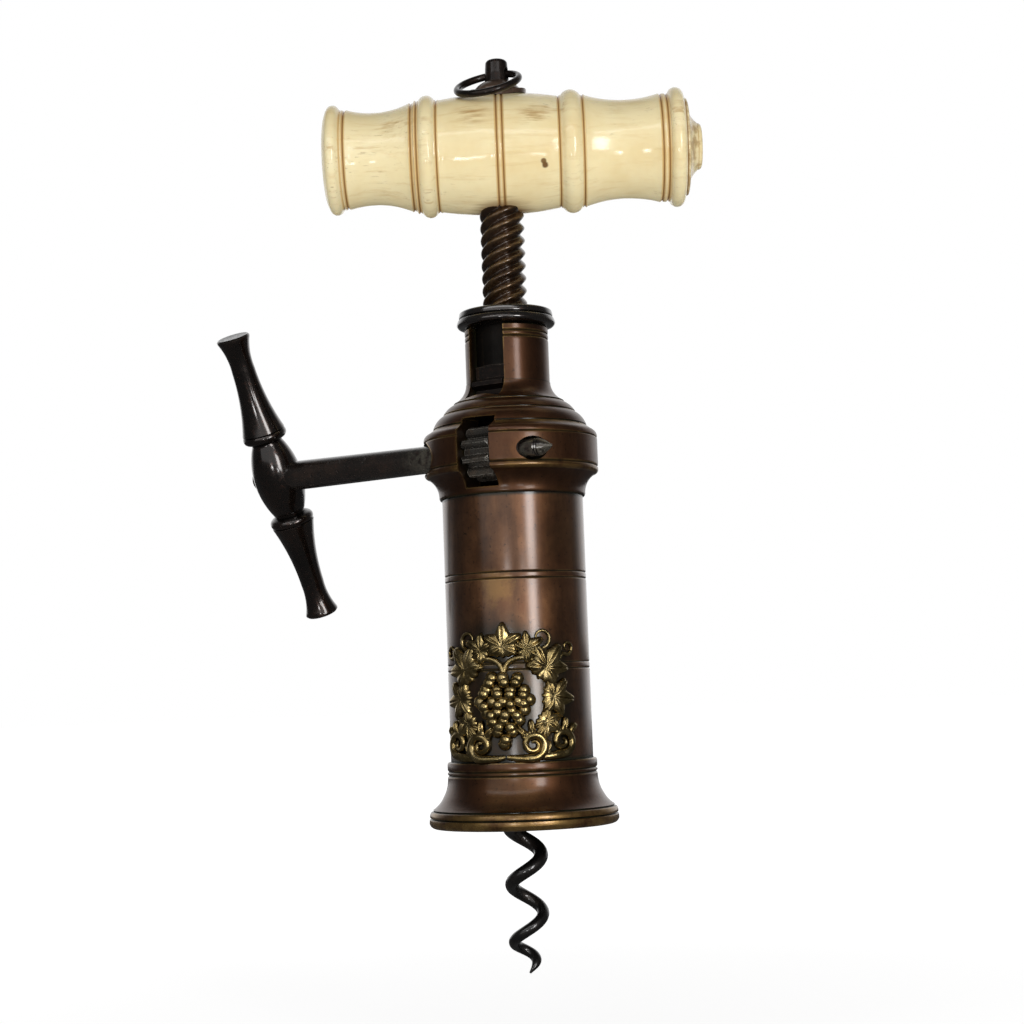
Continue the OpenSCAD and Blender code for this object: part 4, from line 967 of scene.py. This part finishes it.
def old_bone(name, brown=0.0):
    """Polished old bone: cream, with lengthwise grain, pores and brown stains, and brown painted shade by
    its grooves.
    """
    finish, tree, shader = new_finish(name)
    lengthwise = object_coords(tree, stretch=(0.09, 1, 1), turn=(0, 0, -HANDLE_TURN))
    coords = object_coords(tree)
    clouds = cloud(tree, coords, 55, 4, 0.6)
    grain = cloud(tree, lengthwise, 700, 5, 0.66)
    pores = cloud(tree, lengthwise, 2600, 3, 0.6)
    tone = ramp(
        tree, clouds,
        (0.30, (0.74, 0.585, 0.305)), (0.50, (0.81, 0.690, 0.405)), (0.72, (0.84, 0.745, 0.480)),
    )
    tone = over(tree, level(tree, grain, 0.50, 0.72, 0.0, 0.34), tone, (0.62, 0.44, 0.20, 1))
    patch = level(tree, clouds, 0.46, 0.62)
    flecks = times(tree, level(tree, pores, 0.62, 0.69), patch)
    tone = over(tree, times(tree, flecks, 0.5), tone, (0.30, 0.17, 0.07, 1))
    tan = times(tree, level(tree, cloud(tree, lengthwise, 330, 4, 0.62), 0.56, 0.70), patch)
    tone = over(tree, times(tree, tan, 0.75), tone, (0.46, 0.27, 0.09, 1))
    stain = mark(tree, "grime")
    tone = over(tree, level(tree, stain, 0.0, 0.5, 0.0, 0.7), tone, (0.52, 0.285, 0.070, 1))
    tone = over(tree, level(tree, stain, 0.4, 1.0, 0.0, 0.9), tone, (0.22, 0.100, 0.028, 1))
    # Brown stain and painted shade: places within 2 mm of a groove or hollow turn brown.
    near = level(tree, crevice(tree, 0.002), 0.25, 0.8, 0.0, 0.7)
    tone = over(tree, near, tone, (0.40, 0.25, 0.10, 1))
    for spot, small, large, share, colour in BONE_MARKS:
        middle = handle_place @ (Vector(spot) * MM)
        noise = cloud(tree, lengthwise, 900, 4, 0.7)
        apart = ragged_reach(tree, coords, middle, noise, (large - 0.4 * small) * MM)
        seen_mark = level(tree, apart, small * MM, large * 1.3 * MM, share, 0.0)
        if share < 0.9:
            streaks = level(tree, cloud(tree, lengthwise, 480, 5, 0.7), 0.44, 0.60)
            seen_mark = times(tree, seen_mark, streaks)
        tone = over(tree, seen_mark, tone, colour)
    if brown:
        rubbed = level(tree, cloud(tree, coords, 330, 4, 0.7), 0.38, 0.62, 0.0, brown)
        tone = over(tree, rubbed, tone, (0.36, 0.22, 0.085, 1))
    tree.links.new(tone, shader.inputs["Base Color"])
    tree.links.new(level(tree, grain, 0.3, 0.7, 0.09, 0.17), shader.inputs["Roughness"])
    shader.inputs["Specular IOR Level"].default_value = 0.5
    shader.inputs["Subsurface Weight"].default_value = 0.12
    shader.inputs["Subsurface Radius"].default_value = (0.002, 0.0014, 0.0008)
    wavy = bump(tree, cloud(tree, coords, 120, 2, 0.4), 0.0008, 0.5)
    sunk = bump(tree, flecks, -0.00008, 0.8, wavy)
    tree.links.new(bump(tree, grain, 0.00003, 0.6, sunk), shader.inputs["Normal"])
    return finish


grip_outline = [(0, -28.0), (plug_hole_r, -28.0), (plug_hole_r, -36.15)]
grip_outline += swell_to((PLUG_R + 0.1, -36.2), (10.3, -35.5), 8.5, 5)
grip_outline += swell_to((10.55, -35.35), (10.5, -32.9), 11.3)
grip_outline += [(10.15, -32.5, 0, 0.5), (10.3, -32.2)] + stained(10.2, -31.7)
grip_outline += swell_to((10.2, -31.2), (11.05, -18.45), 9.5, 16)
grip_outline += stained(11.15, -17.9) + stained(11.6, -16.75)
grip_outline += swell_to((11.62, -16.3), (11.62, -13.15), 12.55, 12)
grip_outline += stained(11.6, -12.7, 0.25)
grip_outline += swell_to((11.5, -12.1), (12.45, -1.0), 12.2, 12)
grip_outline += stained(12.5, -0.35) + stained(12.5, 0.8)
grip_outline += swell_to((12.45, 1.3), (11.5, 12.0), 12.2, 12)
grip_outline += stained(11.55, 12.4, 0.25)
grip_outline += swell_to((11.75, 13.05), (11.7, 16.8), 12.65, 12)
grip_outline += stained(11.55, 17.3, 0.25)
grip_outline += swell_to((11.35, 18.0), (11.05, 32.8), 10.1, 16)
grip_outline += stained(11.1, 33.35) + stained(11.1, 34.55)
grip_outline += swell_to((11.25, 35.05), (11.0, 38.1), 12.25, 12)
grip_outline += [(10.4, 38.2, 0, 0.8), (plug_hole_r, 38.2, 0, 1), (plug_hole_r, 31.2), (0, 31.2)]
bone_finish = old_bone("old_bone")
piece(turned(grip_outline, place=handle_place), "grip", "spindle", bone_finish, ["handle_grip"])

# End plugs: two bone plugs that close the hollow of the shin bone.
# The right one has a worn, browned button; the left one is dressed flush with the end.
left_outline = [(0, -28.5), (PLUG_R, -28.5), (PLUG_R, -36.15, 0, 0.8)]
left_outline += arc((PLUG_R - 0.2, -36.2), (0.8, -36.5), 0.02, 4) + [(0, -36.5)]
piece(
    turned(left_outline, steps=96, place=handle_place), "left_plug", "spindle",
    bone_finish, ["left_end_plug"],
)
right_outline = [(0, 31.4), (PLUG_R, 31.4), (PLUG_R, 38.23), (9.85, 38.23, 0, 0.8)]
right_outline += arc((10.0, 38.5), (9.6, 38.9), 0.25, 4)
right_outline += arc((9.3, 39.0), (4.95, 40.85), -0.12, 10)
right_outline += [(4.85, 40.95, 0, 0.8)] + arc((4.8, 41.05), (3.9, 41.8), 0.2, 6) + [(1.5, 41.75), (0, 41.6)]
piece(
    turned(right_outline, steps=128, place=handle_place), "right_plug", "spindle",
    old_bone("browned_bone", brown=0.75), ["right_end_plug"],
)

# Ring, post and washer: blackened steel. The washer is bent over the handle's crown, the post is
# screwed through it into the tang, and the ring hangs in the post's hole on the handle's front.
ring_finish = black_steel("ring_steel", pits=0.3, rust=0.45, shine=0.5, edges=True, oil=1.3)
washer_finish = black_steel(
    "washer_steel", pits=0.7, rust=0.85, shine=0.5, pale=(3.4, 2.7, 1.9), metal=0.4
)
coat(ring_finish, "ring_post")
coat(washer_finish, "domed_washer")
RING_MID_R = 6.45
RING_WIRE_R = 0.75
RING_HOLE_Z = 154.7
RING_TURN = math.radians(14)
RING_DIP = math.radians(32)
WIRE_POINTS = 20
wire_angles = [TURN * index / WIRE_POINTS for index in range(WIRE_POINTS)]
ring_outline = [
    (RING_MID_R + RING_WIRE_R * math.cos(angle), RING_WIRE_R * math.sin(angle)) for angle in wire_angles
]
ring_place = Matrix.Translation((0, 0, RING_HOLE_Z * MM)) @ Matrix.Rotation(RING_TURN, 4, "Z")
ring_place @= Matrix.Rotation(RING_DIP, 4, "X") @ Matrix.Translation((0, -RING_MID_R * MM, 0))
piece(
    turned(ring_outline, closed=True, steps=96, place=ring_place), "split_ring", "ring",
    ring_finish, ["hanging_ring"],
)

# Stage: a white floor that keeps the shadow, soft lamps, a white room and the camera.
# The floor lies clear of the worm when it is wound right down.
WORM_DROP = 20.2
floor_z = worm_low.z - WORM_DROP - 0.3


def by_ray(tree, seen, in_metal, elsewhere):
    """A value by how a place is met: seen, mirrored in metal, or lighting the rest."""
    rays = node(tree, "LightPath").outputs
    inputs = {"Value": rays["Is Glossy Ray"], "To Min": elsewhere, "To Max": in_metal}
    unseen = node(tree, "MapRange", inputs).outputs[0]
    straight = figure(tree, "MAXIMUM", rays["Is Camera Ray"], rays["Is Transmission Ray"])
    return node(tree, "MapRange", {"Value": straight, "To Min": unseen, "To Max": seen}).outputs[0]


floor = bmesh.new()
bmesh.ops.create_grid(
    floor, x_segments=1, y_segments=1, size=6.0, matrix=Matrix.Translation((0, 0, floor_z * MM))
)
floor_mesh = bpy.data.meshes.new("floor")
floor.to_mesh(floor_mesh)
floor.free()
floor_finish, floor_tree, floor_shader = new_finish("white_floor")
floor_shader.inputs["Roughness"].default_value = 0.9
floor_shader.inputs["Specular IOR Level"].default_value = 0.0
floor_shader.inputs["Emission Color"].default_value = (1, 1, 1, 1)
floor_coords = node(floor_tree, "TexCoord").outputs["Object"]
floor_reach = node(floor_tree, "VectorMath", {0: floor_coords}, operation="LENGTH").outputs["Value"]
floor_glow = by_ray(floor_tree, level(floor_tree, floor_reach, 0.06, 0.5, 0.75, 0.95), 0.03, 0.48)
floor_tree.links.new(floor_glow, floor_shader.inputs["Emission Strength"])
floor_paint = by_ray(floor_tree, 0.6, 0.1, 0.6)
floor_tree.links.new(floor_paint, floor_shader.inputs["Base Color"])
floor_finish.cycles.emission_sampling = "NONE"
floor_mesh.materials.append(floor_finish)
floor_object = bpy.data.objects.new("floor", floor_mesh)
bpy.context.scene.collection.objects.link(floor_object)

LOOK_AT = Vector((-0.16, -0.11, 63.3)) * MM
CAMERA_TURN = math.radians(34)
CAMERA_RISE = math.radians(-5.1)
CAMERA_ROLL = math.radians(-2.15)
CAMERA_AWAY = 0.4081
CAMERA_LENS = 70.3


def towards(turn, rise):
    """The direction from the object at a turn to the right of the front and a rise."""
    return Vector((math.sin(turn) * math.cos(rise), -math.cos(turn) * math.cos(rise), math.sin(rise)))


def lamp(name, turn, rise, away, width, height, watts):
    """A soft panel lamp that faces the object."""
    light = bpy.data.lights.new(name, "AREA")
    light.shape = "RECTANGLE"
    light.size = width
    light.size_y = height
    light.energy = watts
    made = bpy.data.objects.new(name, light)
    direction = towards(math.radians(turn), math.radians(rise))
    made.location = LOOK_AT + direction * away
    made.rotation_euler = (-direction).to_track_quat("-Z", "Y").to_euler()
    made.visible_camera = False
    bpy.context.scene.collection.objects.link(made)


lamp("key", 61, 3.5, 0.9, 0.2, 0.42, 3.1)
lamp("fill", 20, 8, 1.1, 1.9, 0.8, 3.4)
lamp("top", 20, 34, 1.0, 1.6, 0.12, 1.8)
lamp("left_glint", 22, -9.5, 0.45, 0.055, 0.035, 0.13)
lamp("right_glint", 47, -9.5, 0.45, 0.045, 0.035, 0.08)

facing = towards(CAMERA_TURN, CAMERA_RISE)
world = bpy.data.worlds.new("white_room")
bpy.context.scene.world = world
world.use_nodes = True
room = world.node_tree
way = node(room, "TexCoord").outputs["Generated"]
ahead = node(room, "VectorMath", {0: way, 1: facing}, operation="DOT_PRODUCT").outputs["Value"]
room_in_metal = level(room, ahead, -0.88, -0.40, 1.0, 0.075)
backdrop = room.nodes["Background"].inputs
backdrop["Color"].default_value = (1, 1, 1, 1)
room.links.new(by_ray(room, 1.0, room_in_metal, 0.22), backdrop["Strength"])

camera_data = bpy.data.cameras.new("camera")
camera_data.lens = CAMERA_LENS
camera_data.sensor_width = 36
camera_data.clip_start = 0.01
camera = bpy.data.objects.new("camera", camera_data)
camera.location = LOOK_AT + facing * CAMERA_AWAY
look = (-facing).to_track_quat("-Z", "Y").to_matrix().to_4x4()
camera.rotation_euler = (look @ Matrix.Rotation(CAMERA_ROLL, 4, "Z")).to_euler()
bpy.context.scene.collection.objects.link(camera)
bpy.context.scene.camera = camera
bpy.context.scene.view_settings.view_transform = "Standard"
